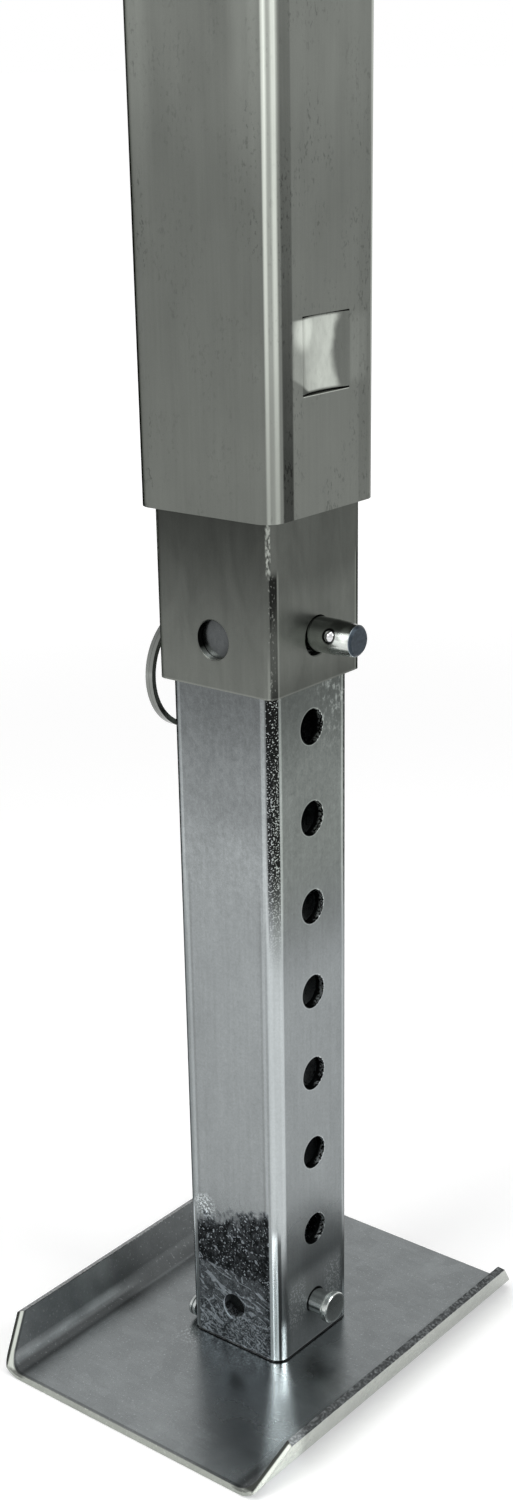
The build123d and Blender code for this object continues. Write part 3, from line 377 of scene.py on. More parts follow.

# Its guide pads: a painted reflection within a ragged outline, brightest at a painted highlight
# spot, with a painted highlight along the slit under each
side = outer.times(outer.y, outer.math("SIGN", outer.x))
level = outer.sum(outer.z, -(outer_bottom + PAD_PLACE))
on_wall = outer.step(outer.absolute(outer.x), OUTER_WALL, OUTER_WALL + 0.5)
on_pad = outer.times(
    on_wall,
    outer.band(level, 0.0, PAD_HEIGHT / 2, 0.3),
    outer.band(side, 0.0, PAD_WIDTH / 2, 0.4),
)
ragged = outer.noise((7.0, 7.0, 7.0), detail=2.0)
waist = outer.sum(SHEEN_RIGHT, outer.times(level, level, 0.018), outer.times(ragged, 3.0), -1.5)
cut_corner = outer.times(outer.math("MAXIMUM", outer.math("SUBTRACT", -7.0, level), 0.0), 1.9)
pad_sheen = outer.times(
    on_wall,
    outer.fall(outer.math("SUBTRACT", side, waist), -2.4, 1.8),
    outer.step(outer.math("SUBTRACT", side, cut_corner), SHEEN_LEFT - 1.0, SHEEN_LEFT + 2.0),
    outer.band(level, 0.0, PAD_HEIGHT / 2 - 1.0, 1.0),
)
pad_highlight = outer.fall(outer.away(side, level, HIGHLIGHT_SPOT), 2.5, 9.0)
sheen_fade = outer.step(side, -PAD_WIDTH / 2 - 1.0, -PAD_WIDTH / 2 + 4.0, 0.35, 1.0)
sheen_grain = outer.noise((3.0, 3.0, 5.0), detail=3.0)
tone = outer.sum(
    tone,
    outer.times(on_pad, outer.inverse(pad_sheen), -0.03),
    outer.times(0.34, pad_sheen, sheen_fade, outer.swing(sheen_grain, 0.30)),
    outer.times(0.34, pad_sheen, pad_highlight),
    outer.times(0.035, on_wall, outer.band(side, 19.5, 3.5, 3.0), outer.band(level, 0.0, 9.0, 5.0)),
    # A painted highlight on the cut edge below each pad's slit
    outer.times(
        0.25,
        outer.band(level, -PAD_HEIGHT / 2 - PAD_SLIT, 0.2, 0.2),
        outer.band(side, 0.0, PAD_WIDTH / 2 - 0.5, 0.5),
    ),
)
outer.paint(outer.math("MAXIMUM", tone, 0.02), STEEL_TINT)
outer.roughen(outer.times(clouds, 0.10), 0.27)
outer.bump(lines, 0.006)
outer.bump(satin, 0.004)
outer.darken_rim(0.5, corner, OUTER_LEFT, fade=3.0, half=4.0, soft=2.0)
outer.dress("outer_tube")

# Ram: the same steel, smeared, with painted shade where it comes out of the outer tube.
ram = Finish("ram_steel", roughness=0.32)
lines, satin, clouds = drawn_steel(ram, streak=2.4, run=40.0)
smear = ram.noise((11.0, 11.0, 26.0), detail=3.0, distortion=1.2)
corner = corner_place(ram)
on_x = ram.step(corner, -1.0, 1.0)
# Painted shade: the Y faces darken up towards the outer tube and lighten again inside it; the X
# faces are painted at a level of their own, lighter round the side hole's height
y_tone = ram.sum(
    ram.step(ram.z, ram_bottom, ram_bottom + 73.0, 0.130, 0.038),
    ram.step(ram.z, ram_bottom + 90.0, ram_bottom + 170.0, 0.0, 0.060),
)
x_tone = ram.sum(0.094, ram.times(0.040, ram.band(ram.z, ram_bottom + 22.0, 8.0, 16.0)))
tone = ram.times(
    ram.mixed(on_x, y_tone, x_tone),
    ram.swing(lines, 0.10),
    ram.swing(satin, 0.10),
    ram.swing(clouds, 0.16),
    ram.swing(smear, 0.24),
)
# Painted highlight lines and a painted dark reflection line along the corners, and a painted
# highlight along the bottom edge
glint_specks = ram.step(ram.noise((0.8, 0.8, 1.7), detail=3.0), 0.36, 0.62)
sparks = ram.step(ram.noise((0.9, 0.9, 1.4), detail=1.0), 0.60, 0.68)
upper = ram.step(ram.z, ram_bottom + 45.0, ram_bottom + 50.0)
lower = ram.inverse(upper)
foot_end = ram.fall(ram.z, ram_bottom + 8.0, ram_bottom + 22.0)
dark_line = ram.sum(0.070, ram.times(0.026, ram.band(ram.z, ram_bottom + 38.0, 6.0, 8.0)))
tone = ram.sum(
    tone,
    ram.times(0.26, upper, glint_specks, ram.band(corner, -0.9, 0.8, 0.9)),
    ram.times(-1.0, lower, dark_line, ram.band(corner, 1.7, 1.7, 0.8)),
    ram.times(0.07, lower, ram.band(corner, 4.2, 0.2, 0.6)),
    ram.times(0.10, lower, sparks, ram.band(corner, 0.6, 1.4, 0.6)),
    ram.times(0.06, foot_end, ram.band(corner, -1.2, 0.3, 0.7)),
    ram.times(0.05, ram.band(ram.z, ram_bottom, 0.4, 0.5)),
)
# The side hole's bore: painted shade in its upper part and a painted highlight at its bottom
side_hole = ram.away(ram.x, ram.z, (0.0, ram_bottom + RAM_HOLE_PLACE))
bore = ram.times(
    ram.fall(side_hole, RAM_HOLE_RADIUS + 0.15, RAM_HOLE_RADIUS + 0.35),
    ram.step(ram.y, -RAM_HALF + 0.1, -RAM_HALF + 0.4),
)
bore_height = ram.sum(ram.z, -(ram_bottom + RAM_HOLE_PLACE))
bore_tone = ram.times(ram.step(bore_height, -5.4, -3.4, 1.0, 0.03), ram.swing(satin, 0.3))
tone = ram.mixed(bore, tone, bore_tone)
ram.paint(ram.math("MAXIMUM", tone, 0.014), STEEL_TINT)
ram.roughen(ram.times(clouds, 0.12), 0.26)
ram.bump(lines, 0.008)
ram.bump(satin, 0.004)
ram.darken_rim(0.35, corner, RAM_LEFT, fade=2.0, half=3.0, soft=1.5)
ram.dress("ram_tube")

# Drop leg: bright zinc, with painted shade on its faces under the ram. The corners are rough and
# dark under the ram and carry painted highlight lines below it, and the foot is stained, spangled
# and scratched on the Y faces.
leg = Finish("leg_zinc", roughness=0.22)
lines, satin, clouds = drawn_steel(leg, grain=0.8, streak=1.8, run=60.0)
speck = leg.noise((0.95, 0.95, 0.95), detail=2.0)
mottles = leg.noise((2.2, 2.2, 2.8), detail=4.0, roughness=0.7)
corner = corner_place(leg)
on_x = leg.step(corner, -1.5, 1.5)
on_y = leg.inverse(on_x)
# Painted shade on the faces: darker up towards the ram and inside it, each face at its own levels
y_shade = leg.times(
    leg.step(leg.z, ram_bottom - 71.0, ram_bottom - 45.0, 1.0, 0.74),
    leg.step(leg.z, ram_bottom - 45.0, ram_bottom + 3.0, 1.0, 0.55),
)
x_shade = leg.times(
    leg.step(leg.z, ram_bottom - 135.0, ram_bottom - 93.0, 1.06, 0.70),
    leg.step(leg.z, ram_bottom - 45.0, ram_bottom - 1.0, 1.0, 0.54),
)
mottling = leg.step(leg.z, WORN_START + 4.0, WORN_END + 10.0, 0.22, 0.75)
tone = leg.times(
    0.295,
    leg.swing(lines, 0.12),
    leg.swing(satin, 0.16),
    leg.swing(clouds, 0.16),
    leg.change(leg.sum(mottles, -0.5), mottling),
    leg.mixed(on_x, y_shade, x_shade),
    leg.change(0.06, on_x, leg.band(leg.z, 60.0, 4.0, 14.0)),
    leg.change(-0.16, on_x, leg.fall(leg.z, 36.0, 52.0)),
)
pits = leg.step(leg.noise((0.9, 0.9, 1.6), detail=3.0), 0.40, 0.60)

# Its corners: painted highlight lines below the ram, and rough and dark with white flecks under the
# ram
worn = leg.step(leg.z, WORN_START, WORN_END)
corner_sheen = leg.times(
    leg.fall(leg.z, WORN_START + 20.0, WORN_END),
    leg.step(leg.z, BRIGHT_CORNER_TOP - 18.0, BRIGHT_CORNER_TOP + 2.0),
)
rough_strip = leg.times(worn, leg.band(corner, 1.0, 3.3, 0.6))
sparse = leg.step(leg.z, WORN_END - 5.0, WORN_END + 66.0, 0.0, -0.07)
strip_flecks = leg.step(leg.sum(leg.noise((0.65, 0.65, 0.65), detail=1.0), sparse), 0.54, 0.62)
left_corner = leg.step(leg.x, -12.0, -8.0, 0.35, 1.0)
edge_fade = leg.step(leg.z, ram_bottom - 45.0, ram_bottom, 1.0, 0.6)
tone = leg.times(
    leg.sum(
        tone,
        leg.times(0.155, left_corner, corner_sheen, leg.band(corner, 0.9, 4.3, 0.9)),
        leg.times(0.04, corner_sheen, leg.band(corner, -1.9, 0.7, 0.8)),
        leg.times(0.04, corner_sheen, leg.band(corner, 4.3, 0.6, 0.7)),
    ),
    leg.inverse(leg.times(0.93, rough_strip)),
)
strip_edge = leg.times(worn, edge_fade, leg.swing(speck, 0.5))
tone = leg.sum(
    tone,
    leg.times(0.40, rough_strip, strip_flecks),
    leg.times(0.15, strip_edge, leg.band(corner, -4.3, 0.6, 0.8)),
    leg.times(0.20, strip_edge, leg.band(corner, 5.4, 0.4, 0.7)),
    leg.times(0.06, corner_sheen, leg.band(corner, -5.8, 0.4, 0.6)),
    leg.times(-0.04, corner_sheen, leg.band(corner, -7.2, 0.3, 0.5)),
    leg.times(
        0.16,
        on_x,
        leg.step(leg.z, ram_bottom - 34.0, ram_bottom - 10.0),
        leg.step(leg.y, 0.0, 10.0),
        leg.step(mottles, 0.50, 0.66),
    ),
    leg.times(
        0.22,
        leg.band(corner, 12.0, 4.0, 4.0),
        leg.band(leg.z, FOOT_PIN_HEIGHT + 3.9, 6.0, 8.0),
        leg.step(speck, 0.52, 0.62),
    ),
)

# The stain at its foot: spangled above, scratched below
ragged = leg.sum(leg.noise((5.0, 5.0, 7.0), detail=4.0, roughness=0.65), -0.5)
stain_line = leg.sum(leg.z, leg.times(leg.x, -0.4), leg.times(ragged, 26.0))
scratch_line = leg.sum(leg.z, leg.times(ragged, 6.0))
stain = leg.times(
    on_y,
    leg.fall(stain_line, STAIN_TOP, STAIN_TOP + 7.0),
    leg.fall(corner, -5.6, -4.8),
)
scratched = leg.times(
    leg.fall(scratch_line, SCRATCH_TOP, SCRATCH_TOP + 2.0),
    leg.step(leg.x, 16.0, 19.0, 1.0, 0.25),
)
grime = leg.step(mottles, 0.40, 0.70, 0.04, 0.24)
left_rim = leg.step(leg.x, LEG_LEFT - 3.0, LEG_LEFT + 1.0, 0.28, 0.0)
kept = leg.sum(grime, left_rim, leg.times(0.22, scratched, leg.swing(mottles, 0.8)))
tone = leg.mixed(stain, tone, leg.times(tone, kept))
tilted = leg.turned(leg.point, (0.0, -22.0, 0.0))
arcs = leg.noise((17.0, 17.0, 4.2), detail=0.6, vector=tilted)
curls = leg.noise((2.6, 2.6, 2.6), detail=1.0)
broken = leg.step(leg.noise((4.5, 4.5, 3.0), detail=2.0), 0.44, 0.56)
near_end = leg.step(leg.z, 18.0, 24.0, 1.0, 0.2)
whitish = leg.fall(leg.away(leg.x, leg.z, WHITE_SPOT), 2.0, 8.0)
flecks = leg.times(
    leg.step(speck, 0.62, 0.67),
    leg.mixed(scratched, 1.0, 0.45),
    leg.mixed(broken, 0.4, 1.0),
)
tone = leg.sum(
    tone,
    leg.times(0.50, stain, flecks),
    leg.times(0.26, stain, scratched, broken, leg.contours(arcs, 5.0, 0.07)),
    leg.times(0.20, stain, scratched, near_end, leg.contours(curls, 3.2, 0.09)),
    leg.times(0.28, stain, leg.inverse(broken), leg.contours(curls, 2.2, 0.08)),
    leg.times(0.5, on_y, whitish, leg.step(speck, 0.50, 0.58)),
)

# Painted highlight lines along the corners of its foot, and a painted dark reflection on the corner
# beside them
low = leg.fall(leg.z, BRIGHT_CORNER_TOP, BRIGHT_CORNER_TOP + 10.0)
low_line = leg.times(low, leg.band(corner, -1.9, 1.35, 0.4))
foot_line = leg.times(leg.fall(leg.z, 19.0, 26.0), leg.band(corner, 3.2, 1.4, 0.7))
tone = leg.times(tone, leg.change(-0.72, low, leg.band(corner, 0.9, 0.7, 0.7)))
tone = leg.sum(
    tone,
    leg.times(0.98, low_line, leg.mixed(pits, 0.75, 1.0)),
    leg.times(0.85, foot_line, leg.mixed(pits, 0.55, 1.0)),
)

# Its row of holes and side hole: painted highlights on the lips, painted shade in the bores with a
# painted light patch inside, and a painted highlight along the leg's bottom edge
row_start = LOWEST_HOLE - HOLE_PITCH / 2
row = leg.math("WRAP", leg.z, row_start + HOLE_PITCH, row_start)
below_row = leg.step(leg.z, row_start, row_start + 1.0, HOLE_PITCH, 0.0)
from_hole = leg.sum(leg.away(leg.y, row, (0.0, LOWEST_HOLE)), below_row)
lip = leg.times(on_x, leg.band(from_hole, HOLE_RADIUS + 0.25, 0.15, 0.3))
depth = leg.absolute(leg.x)
bore = leg.times(
    leg.fall(from_hole, HOLE_RADIUS + 0.1, HOLE_RADIUS + 0.25),
    leg.step(depth, 18.0, 20.0),
)
bore_light = leg.times(
    leg.step(leg.y, 1.0, 4.0),
    leg.step(depth, 22.6, 24.2),
    leg.step(speck, 0.46, 0.56),
)
from_side_hole = leg.away(leg.x, leg.z, (0.0, LOWEST_HOLE - HOLE_PITCH))
side_lip = leg.times(
    on_y,
    leg.band(from_side_hole, SIDE_HOLE_RADIUS + 0.35, 0.3, 0.3),
    leg.fall(leg.x, -3.0, 2.0),
)
tone = leg.sum(
    tone,
    leg.times(0.10, lip),
    leg.times(0.45, side_lip),
    leg.times(0.10, leg.band(leg.z, SHEET + LEG_GAP, 0.3, 0.4)),
)
tone = leg.mixed(bore, tone, leg.sum(0.02, leg.times(0.9, bore_light)))
# A painted contact shadow round the upper side of the foot pin's root on the X face
from_pin = leg.away(leg.y, leg.z, (0.0, FOOT_PIN_HEIGHT))
pin_ring = leg.times(
    on_x,
    leg.band(from_pin, FOOT_PIN_RADIUS + 0.3, 0.3, 0.3),
    leg.step(leg.z, FOOT_PIN_HEIGHT - 4.5, FOOT_PIN_HEIGHT - 2.5),
)
tone = leg.times(tone, leg.change(-0.9, pin_ring))

# Darker inside the ram, least so where the ram's side hole shows it
from_ram_hole = leg.away(leg.x, leg.z, (0.0, ram_bottom + RAM_HOLE_PLACE))
in_ram = leg.step(leg.z, ram_bottom + 2.0, ram_bottom + 6.0)
shadow = leg.step(from_ram_hole, 2.0, 9.0, -0.28, -0.6)
tone = leg.times(tone, leg.change(in_ram, shadow))
tone = leg.math("MINIMUM", leg.math("MAXIMUM", tone, 0.010), 1.0)
tint = leg.blend(leg.times(on_x, worn), ZINC_TINT, WORN_TINT)
leg.paint(tone, leg.blend(stain, tint, STAIN_TINT))
leg.roughen(
    leg.times(clouds, 0.12),
    leg.times(0.16, stain),
    leg.times(0.14, rough_strip),
    leg.times(0.2, bore),
    leg.times(0.22, leg.step(corner, 5.5, 8.0), leg.fall(leg.z, 36.0, 46.0)),
    leg.times(-0.10, leg.math("MAXIMUM", low_line, foot_line)),
    leg.step(leg.z, 40.0, 90.0, 0.27, 0.17),
)
leg.bump(lines, 0.006)
leg.bump(satin, 0.004)
leg.bump(leg.times(leg.math("MAXIMUM", rough_strip, stain), speck), 0.10)
leg.darken_rim(0.35, corner, LEG_LEFT, fade=2.0, half=3.5, soft=1.5)
leg.dress("drop_leg")

# Foot plate and bracket: hot-dipped sheet with soft crystals, and bright sheared edges.
foot = Finish("foot_zinc", roughness=0.26)
satin = foot.noise((0.6, 0.6, 0.6), detail=3.0)
clouds = foot.noise((24.0, 24.0, 24.0), detail=3.0)
wipe = foot.noise((26.0, 3.0, 3.0), detail=3.0)
speck = foot.noise((1.1, 1.1, 1.1), detail=2.0)
crystals = foot.math("FRACT", foot.times(foot.cells((7.0, 7.0, 7.0)), 7.31))

# Its edges and flange faces, found along and across the leaning sheet
near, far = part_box("foot_plate")
front, half_width, flange_top = near[1] * MM, far[0] * MM, far[2] * MM
lean = math.radians(FLANGE_LEAN)
sine, cosine = math.sin(lean), math.cos(lean)
tip = (half_width - SHEET * cosine) * sine + flange_top * cosine
outer_face = half_width * cosine - (flange_top - SHEET * sine) * sine
across = foot.absolute(foot.x)
rise = foot.sum(foot.times(across, sine), foot.times(foot.z, cosine))
in_cut = foot.math(
    "SUBTRACT",
    foot.sum(foot.y, -front),
    foot.times(foot.math("MAXIMUM", foot.sum(foot.z, -SHEET), 0.0), CORNER_CUT_SLOPE),
)
outward = foot.sum(
    foot.times(across, cosine), foot.times(foot.z, -sine), -outer_face, SHEET / 2
)
top_edge = foot.step(rise, tip - 0.5, tip - 0.2)
front_edge = foot.fall(in_cut, 0.25, 0.55)
cut_corner = foot.times(front_edge, foot.step(foot.z, SHEET + 0.2, SHEET + 1.2))
front_line = foot.times(
    foot.band(in_cut, 1.1, 0.4, 0.5), foot.step(foot.z, SHEET - 0.5, SHEET - 0.3)
)
outside = foot.times(
    foot.step(outward, SHEET / 2 - 0.5, SHEET / 2 - 0.3),
    foot.fall(rise, tip - 0.25, tip - 0.1),
)
cut_side = foot.step(foot.times(outward, foot.math("SIGN", foot.x)), -0.5, 0.3, 0.04, 0.62)
tone = foot.times(
    0.27,
    foot.swing(satin, 0.16),
    foot.swing(clouds, 0.18),
    foot.swing(wipe, 0.10),
    foot.swing(crystals, 0.05),
    foot.step(foot.y, -70.0, -30.0, 1.12, 1.0),
    foot.change(-0.4, front_line),
    foot.change(top_edge, foot.step(speck, 0.42, 0.62, -0.75, -0.25)),
    foot.change(0.5, outside, foot.swing(speck, 0.5)),
)

# The painted reflection of the leg's front corner: a bright streak that runs on from it and widens
streak_way = foot.sum(
    foot.times(foot.sum(foot.x, -LEG_HALF), STREAK_ACROSS[0]),
    foot.times(foot.sum(foot.y, LEG_HALF), STREAK_ACROSS[1]),
)
past_leg = foot.times(
    foot.sum(foot.x, -LEG_HALF + 3.0, foot.times(foot.sum(foot.y, LEG_HALF - 3.0), -1.0)), 0.70
)
streak_width = foot.sum(3.0, foot.times(0.07, foot.math("MAXIMUM", past_leg, 0.0)))
past_edge = foot.math("SUBTRACT", foot.absolute(streak_way), streak_width)
streak = foot.times(
    foot.fall(past_edge, -2.5, 2.5),
    foot.step(past_leg, 1.0, 3.0),
)

# The plate under the leg's rim, in painted shade, and before its -Y face, with painted specks of
# reflection
along = foot.absolute(foot.y)
rim_gap = foot.times(
    foot.band(foot.math("MAXIMUM", across, along), LEG_HALF - 1.7, 1.3, 0.3),
    foot.fall(foot.sum(across, along), 2 * LEG_HALF - 5.5, 2 * LEG_HALF - 4.0),
    foot.step(foot.z, SHEET - 0.3, SHEET - 0.1),
)
rim_tone = foot.step(corner_place(foot), -1.0, 1.0, -0.45, -0.72)
beside_leg = foot.times(
    foot.step(foot.y, -44.0, -LEG_HALF),
    foot.fall(foot.y, -LEG_HALF + 1.0, -LEG_HALF + 2.0),
    foot.fall(across, LEG_HALF - 3.0, LEG_HALF + 3.0),
)

# The flanges' inner faces, toned to offset what they reflect: darker in the far half and in the
# hollow of the bend, lighter across from the leg
bend_end = tip - (flange_top - SHEET - FOOT_BEND * (1 - sine)) / cosine
from_bend = foot.away(across, foot.z, (FOOT_FLAT_HALF, FOOT_BEND + SHEET))
mid_sheet = FOOT_BEND + SHEET / 2
in_bend = foot.fall(from_bend, mid_sheet - 0.1, mid_sheet + 0.1)
on_flange = foot.times(
    foot.step(rise, bend_end - 0.5, bend_end + 0.5),
    foot.inverse(outside),
    foot.inverse(top_edge),
)
inside = foot.times(
    foot.step(across, FOOT_FLAT_HALF - 4.0, FOOT_FLAT_HALF),
    foot.math("MAXIMUM", in_bend, on_flange),
)
near_half = foot.fall(foot.y, -30.0, -8.0)
valley = foot.times(near_half, foot.fall(foot.z, SHEET + 0.7, SHEET + 1.8))
leg_shade = foot.times(
    foot.band(foot.y, -39.0, 3.0, 13.0), foot.step(foot.z, SHEET + 1.7, SHEET + 2.7)
)
inner_tone = foot.times(
    foot.mixed(near_half, foot.step(foot.z, SHEET, SHEET + 0.35, 0.83, 0.49), 0.87),
    foot.mixed(valley, 1.0, 0.42),
    foot.sum(1.0, leg_shade),
)
tone = foot.times(
    tone, foot.change(rim_gap, rim_tone), foot.mixed(inside, 1.0, inner_tone)
)
tone = foot.sum(
    tone,
    foot.times(0.10, foot.step(speck, 0.63, 0.70)),
    foot.times(0.33, streak, foot.swing(speck, 0.6)),
    foot.times(0.04, front_edge, foot.swing(speck, 0.5)),
    foot.times(0.16, beside_leg, foot.step(speck, 0.50, 0.60)),
)
tone = foot.mixed(cut_corner, tone, cut_side)
foot.paint(
    foot.math("MAXIMUM", tone, 0.02),
    foot.blend(foot.math("MAXIMUM", front_edge, outside), ZINC_TINT, STEEL_TINT),
)
foot.roughen(
    foot.times(clouds, 0.12), foot.times(rim_gap, 0.6), foot.times(inside, 0.08), 0.20
)
foot.bump(satin, 0.006)
foot.dress("foot_plate", "foot_bracket")

# Stud and split ring
turned_metal("pin_zinc", 0.55, (0.95, 1.0, 0.99), 0.16, ("leg_stud",))
turned_metal("ring_wire", 0.22, (0.96, 1.0, 0.95), 0.10, ("split_ring",))

# Foot pin: bright zinc, with painted highlight lines and painted shade along the shank, and a
# painted highlight round the head's rim.
foot_pin = Finish("foot_pin_zinc", roughness=0.16)
fine = foot_pin.noise((5.0, 0.4, 0.4), detail=2.0)
cloud = foot_pin.noise((3.0, 3.0, 3.0), detail=2.0)
height = foot_pin.sum(foot_pin.z, -FOOT_PIN_HEIGHT)
shank = foot_pin.fall(foot_pin.x, FOOT_PIN_HEAD, FOOT_PIN_HEAD + 0.2)
lined = foot_pin.sum(
    foot_pin.step(height, 0.0, 1.0, 0.24, 0.44),
    foot_pin.times(0.56, foot_pin.band(height, 1.6, 0.5, 0.7)),
    foot_pin.times(0.75, foot_pin.band(height, -1.7, 0.6, 0.9)),
    foot_pin.times(-0.20, foot_pin.step(height, 3.6, 4.4)),
    foot_pin.times(-0.20, foot_pin.fall(height, -4.4, -3.6)),
)
from_axis = foot_pin.away(foot_pin.y, foot_pin.z, (0.0, FOOT_PIN_HEIGHT))
head = foot_pin.step(from_axis, 5.6, 6.4, 0.33, 0.6)
tone = foot_pin.times(
    foot_pin.mixed(shank, head, lined), foot_pin.swing(fine, 0.2), foot_pin.swing(cloud, 0.2)
)
foot_pin.paint(foot_pin.math("MAXIMUM", tone, 0.03), FOOT_PIN_TINT)
foot_pin.roughen(foot_pin.times(cloud, 0.1), 0.12)
foot_pin.bump(fine, 0.005)
foot_pin.dress("foot_pin")

# Pull pin: bright zinc, with painted shade on top and round the ball, a painted glint, and a dark
# blue-grey sawn end.
pin = Finish("pull_pin_zinc", roughness=0.18)
fine = pin.noise((6.0, 0.3, 0.3), detail=2.0)
cloud = pin.noise((4.0, 4.0, 4.0), detail=3.0)
ball_box = [Vector(corner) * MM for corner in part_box("detent_ball")]
ball_centre = (ball_box[0] + ball_box[1]) / 2
ball_radius = (ball_box[1] - ball_box[0]).x / 2
from_ball = pin.add(
    "ShaderNodeVectorMath", pin.point, tuple(ball_centre), operation="DISTANCE"
).outputs["Value"]
end_face = pin.step(pin.x, PIN_FACE, PIN_FACE + 0.5)
pin_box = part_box("pull_pin")
pin_height = (pin_box[0][2] + pin_box[1][2]) / 2 * MM
tone = pin.times(
    0.60,
    pin.swing(fine, 0.14),
    pin.swing(cloud, 0.25),
    pin.step(pin.z, pin_height + 2.0, pin_height + 5.5, 1.0, 0.22),
)
from_glint = pin.away(pin.x, pin.z, (PIN_GLINT_PLACE, pin_height + 3.0))
tone = pin.sum(tone, pin.times(0.5, pin.fall(from_glint, 1.2, 3.2)))
tone = pin.times(tone, pin.step(from_ball, ball_radius + 0.5, ball_radius + 0.9, 0.12, 1.0))
sawn = pin.times(0.05, pin.swing(pin.noise((1.2, 1.2, 1.2), detail=3.0), 0.7))
pin.paint(pin.mixed(end_face, tone, sawn), pin.blend(end_face, PULL_PIN_TINT, SAWN_TINT))
pin.roughen(pin.times(0.25, end_face), 0.16)
pin.bump(fine, 0.005)
pin.dress("pull_pin")

# Pieces out of the picture and inside
turned_metal("cap_zinc", 0.30, (0.98, 1.0, 0.98), 0.34, ("top_cap",))
turned_metal("crank_zinc", 0.32, (0.98, 1.0, 0.99), 0.30, ("crank_arm",))
turned_metal(
    "screw_zinc",
    0.45,
    (1.0, 0.99, 0.95),
    0.26,
    (
        "cap_screws",
        "grease_fitting",
        "plate_screws",
        "arm_bolt",
        "arm_nut",
        "pinion_washer",
        "far_washer",
        "wheel_washer",
    ),
)
turned_metal(
    "machined_steel",
    0.26,
    (1.0, 0.99, 0.97),
    0.30,
    (
        "bearing_plate",
        "crank_shaft",
        "pinion_pin",
        "lead_screw",
        "gear_pin",
        "stop_ring",
        "nut_pins",
    ),
)
turned_metal("gear_steel", 0.16, (1.0, 0.98, 0.94), 0.24, ("bevel_gear", "bevel_pinion"))
turned_metal(
    "bearing_steel",
    0.60,
    (0.99, 0.99, 1.0),
    0.12,
    ("upper_race", "lower_race", "bearing_rollers", "detent_ball"),
)
turned_metal(
    "spring_steel", 0.12, (1.0, 0.97, 0.93), 0.30, ("shaft_clip", "grip_retainer", "detent_spring")
)
turned_metal("cast_nut", 0.10, (1.0, 0.98, 0.96), 0.50, ("lift_nut",), grain=1.2, relief=0.05)
turned_metal("bronze", 0.42, (1.0, 0.68, 0.34), 0.30, ("crank_side_bush", "far_side_bush"))
turned_metal("cage_brass", 0.55, (1.0, 0.76, 0.36), 0.26, ("bearing_cage",))

# Grip: black moulded plastic with a fine matt texture.
grip = Finish("grip_plastic", metallic=0.0, roughness=0.5)
texture = grip.noise((0.4, 0.4, 0.4), detail=2.0)
wear = grip.noise((9.0, 14.0, 14.0), detail=3.0)
grip.paint(grip.times(0.022, grip.swing(wear, 0.35), grip.swing(texture, 0.2)), PLASTIC_TINT)
grip.roughen(grip.times(wear, 0.25), 0.36)
grip.bump(texture, 0.02)
grip.dress("grip")


def make_floor():
    """Pale floor. It glows a little for the camera and for reflections, more so far away where
    the lamps don't reach, and keeps the shadows."""
    corners = [(-1, -1), (1, -1), (1, 1), (-1, 1)]
    mesh = bpy.data.meshes.new("floor")
    mesh.from_pydata(
        [(x * FLOOR_HALF, y * FLOOR_HALF, -FLOOR_DROP) for x, y in corners], [], [(0, 1, 2, 3)]
    )
    floor = bpy.data.objects.new("floor", mesh)
    bpy.context.scene.collection.objects.link(floor)
    material = bpy.data.materials.new("floor_paper")
    material.use_nodes = True
    nodes, links = material.node_tree.nodes, material.node_tree.links
    nodes.clear()
    paper = nodes.new("ShaderNodeBsdfDiffuse")
    paper.inputs["Color"].default_value = FLOOR_COLOR
    glow = nodes.new("ShaderNodeEmission")
    both = nodes.new("ShaderNodeAddShader")
    output = nodes.new("ShaderNodeOutputMaterial")
    place = nodes.new("ShaderNodeTexCoord")
    reach = nodes.new("ShaderNodeVectorMath")
    reach.operation = "LENGTH"
    links.new(place.outputs["Object"], reach.inputs[0])
    level = ramp(
        nodes,
        links,
        reach.outputs["Value"],
        (FLOOR_NEAR, FLOOR_FAR),
        (FLOOR_GLOW, FLOOR_FAR_GLOW),
    )
    strength = nodes.new("ShaderNodeMath")
    strength.operation = "MULTIPLY"
    links.new(level, strength.inputs[1])
    links.new(seen_rays(nodes, links), strength.inputs[0])
    links.new(strength.outputs[0], glow.inputs["Strength"])
    links.new(paper.outputs[0], both.inputs[0])
    links.new(glow.outputs[0], both.inputs[1])
    links.new(both.outputs[0], output.inputs["Surface"])
    mesh.materials.append(material)


def seen_rays(nodes, links):
    """1 for camera, glossy and transmission rays, 0 for the rays that only light the object."""
    path = nodes.new("ShaderNodeLightPath")
    total = path.outputs["Is Camera Ray"]
    for name in ("Is Glossy Ray", "Is Transmission Ray"):
        largest = nodes.new("ShaderNodeMath")
        largest.operation = "MAXIMUM"
        links.new(total, largest.inputs[0])
        links.new(path.outputs[name], largest.inputs[1])
        total = largest.outputs[0]
    return total


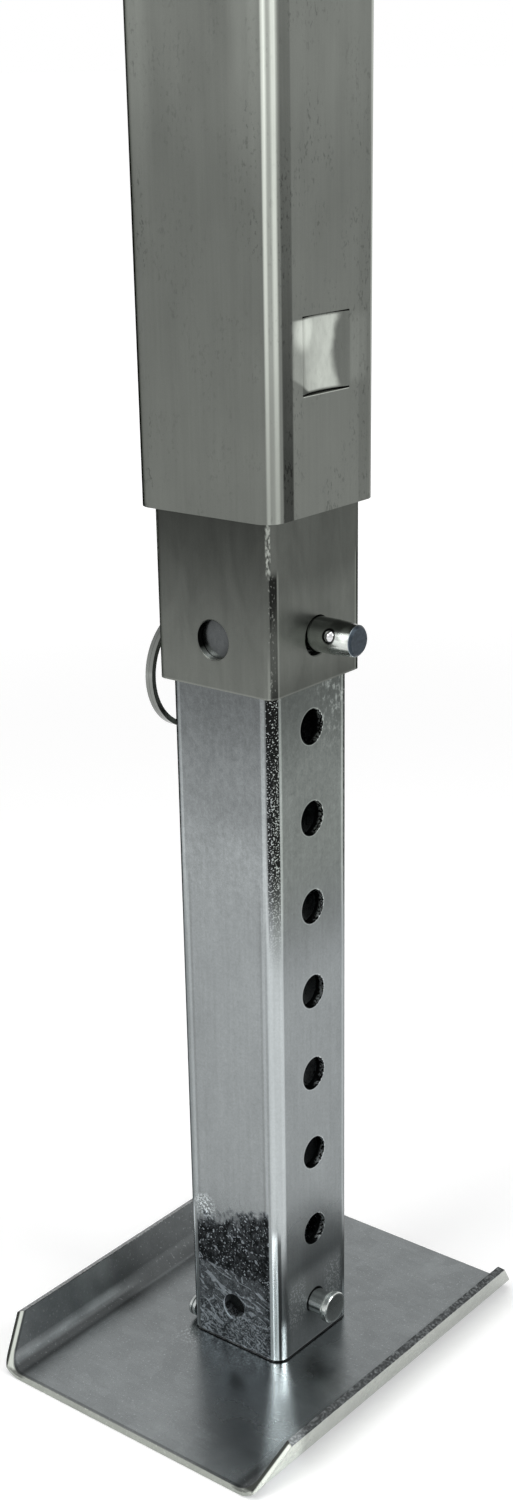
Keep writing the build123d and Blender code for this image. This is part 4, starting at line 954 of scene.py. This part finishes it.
def make_world():
    """White backdrop that greys a little overhead, and a weaker even dome of light."""
    world = bpy.data.worlds.new("studio")
    bpy.context.scene.world = world
    world.use_nodes = True
    nodes, links = world.node_tree.nodes, world.node_tree.links
    background = nodes["Background"]
    background.inputs["Color"].default_value = (1.0, 1.0, 1.0, 1.0)
    direction = nodes.new("ShaderNodeTexCoord")
    axes = nodes.new("ShaderNodeSeparateXYZ")
    links.new(direction.outputs["Generated"], axes.inputs[0])
    fade = ramp(
        nodes, links, axes.outputs["Z"], BACKDROP_FADE, (BACKDROP_HORIZON, BACKDROP_ZENITH)
    )
    pick = nodes.new("ShaderNodeMix")
    pick.inputs["A"].default_value = DOME_LIGHT
    links.new(seen_rays(nodes, links), pick.inputs["Factor"])
    links.new(fade, pick.inputs["B"])
    links.new(pick.outputs[0], background.inputs["Strength"])


def make_lamps():
    for name, (place, size, power) in LAMPS.items():
        light = bpy.data.lights.new(name, "AREA")
        light.size = size
        light.energy = power
        lamp = bpy.data.objects.new(name, light)
        lamp.location = place
        aim = LAMP_AIM - Vector(place)
        lamp.rotation_euler = aim.to_track_quat("-Z", "Y").to_euler()
        bpy.context.scene.collection.objects.link(lamp)


def make_camera():
    """Camera at the photograph's place, with the shift that its crop needs."""
    yaw, pitch, roll = (math.radians(a) for a in (CAMERA_YAW, CAMERA_PITCH, CAMERA_ROLL))
    forward = Vector(
        (-math.sin(yaw) * math.cos(pitch), math.cos(yaw) * math.cos(pitch), -math.sin(pitch))
    )
    level_right = Vector((math.cos(yaw), math.sin(yaw), 0.0))
    level_up = level_right.cross(forward)
    right = math.cos(roll) * level_right + math.sin(roll) * level_up
    up = math.cos(roll) * level_up - math.sin(roll) * level_right
    data = bpy.data.cameras.new("camera")
    data.sensor_width = SENSOR_MM
    data.lens = FOCAL_LENGTH_PIXELS / PHOTO_HEIGHT * SENSOR_MM
    data.shift_x = (PHOTO_WIDTH / 2 - CENTRE_PIXEL[0]) / PHOTO_HEIGHT
    data.shift_y = (CENTRE_PIXEL[1] - PHOTO_HEIGHT / 2) / PHOTO_HEIGHT
    data.clip_start = CLIP_START
    camera = bpy.data.objects.new("camera", data)
    turn = Matrix((right, up, -forward)).transposed()
    camera.matrix_world = Matrix.Translation(CAMERA_PLACE) @ turn.to_4x4()
    bpy.context.scene.collection.objects.link(camera)
    bpy.context.scene.camera = camera


for node, width in EDGE_WIDTHS.items():
    soften_edges(node, width)
make_floor()
make_world()
make_lamps()
make_camera()
bpy.context.scene.view_settings.view_transform = "Standard"
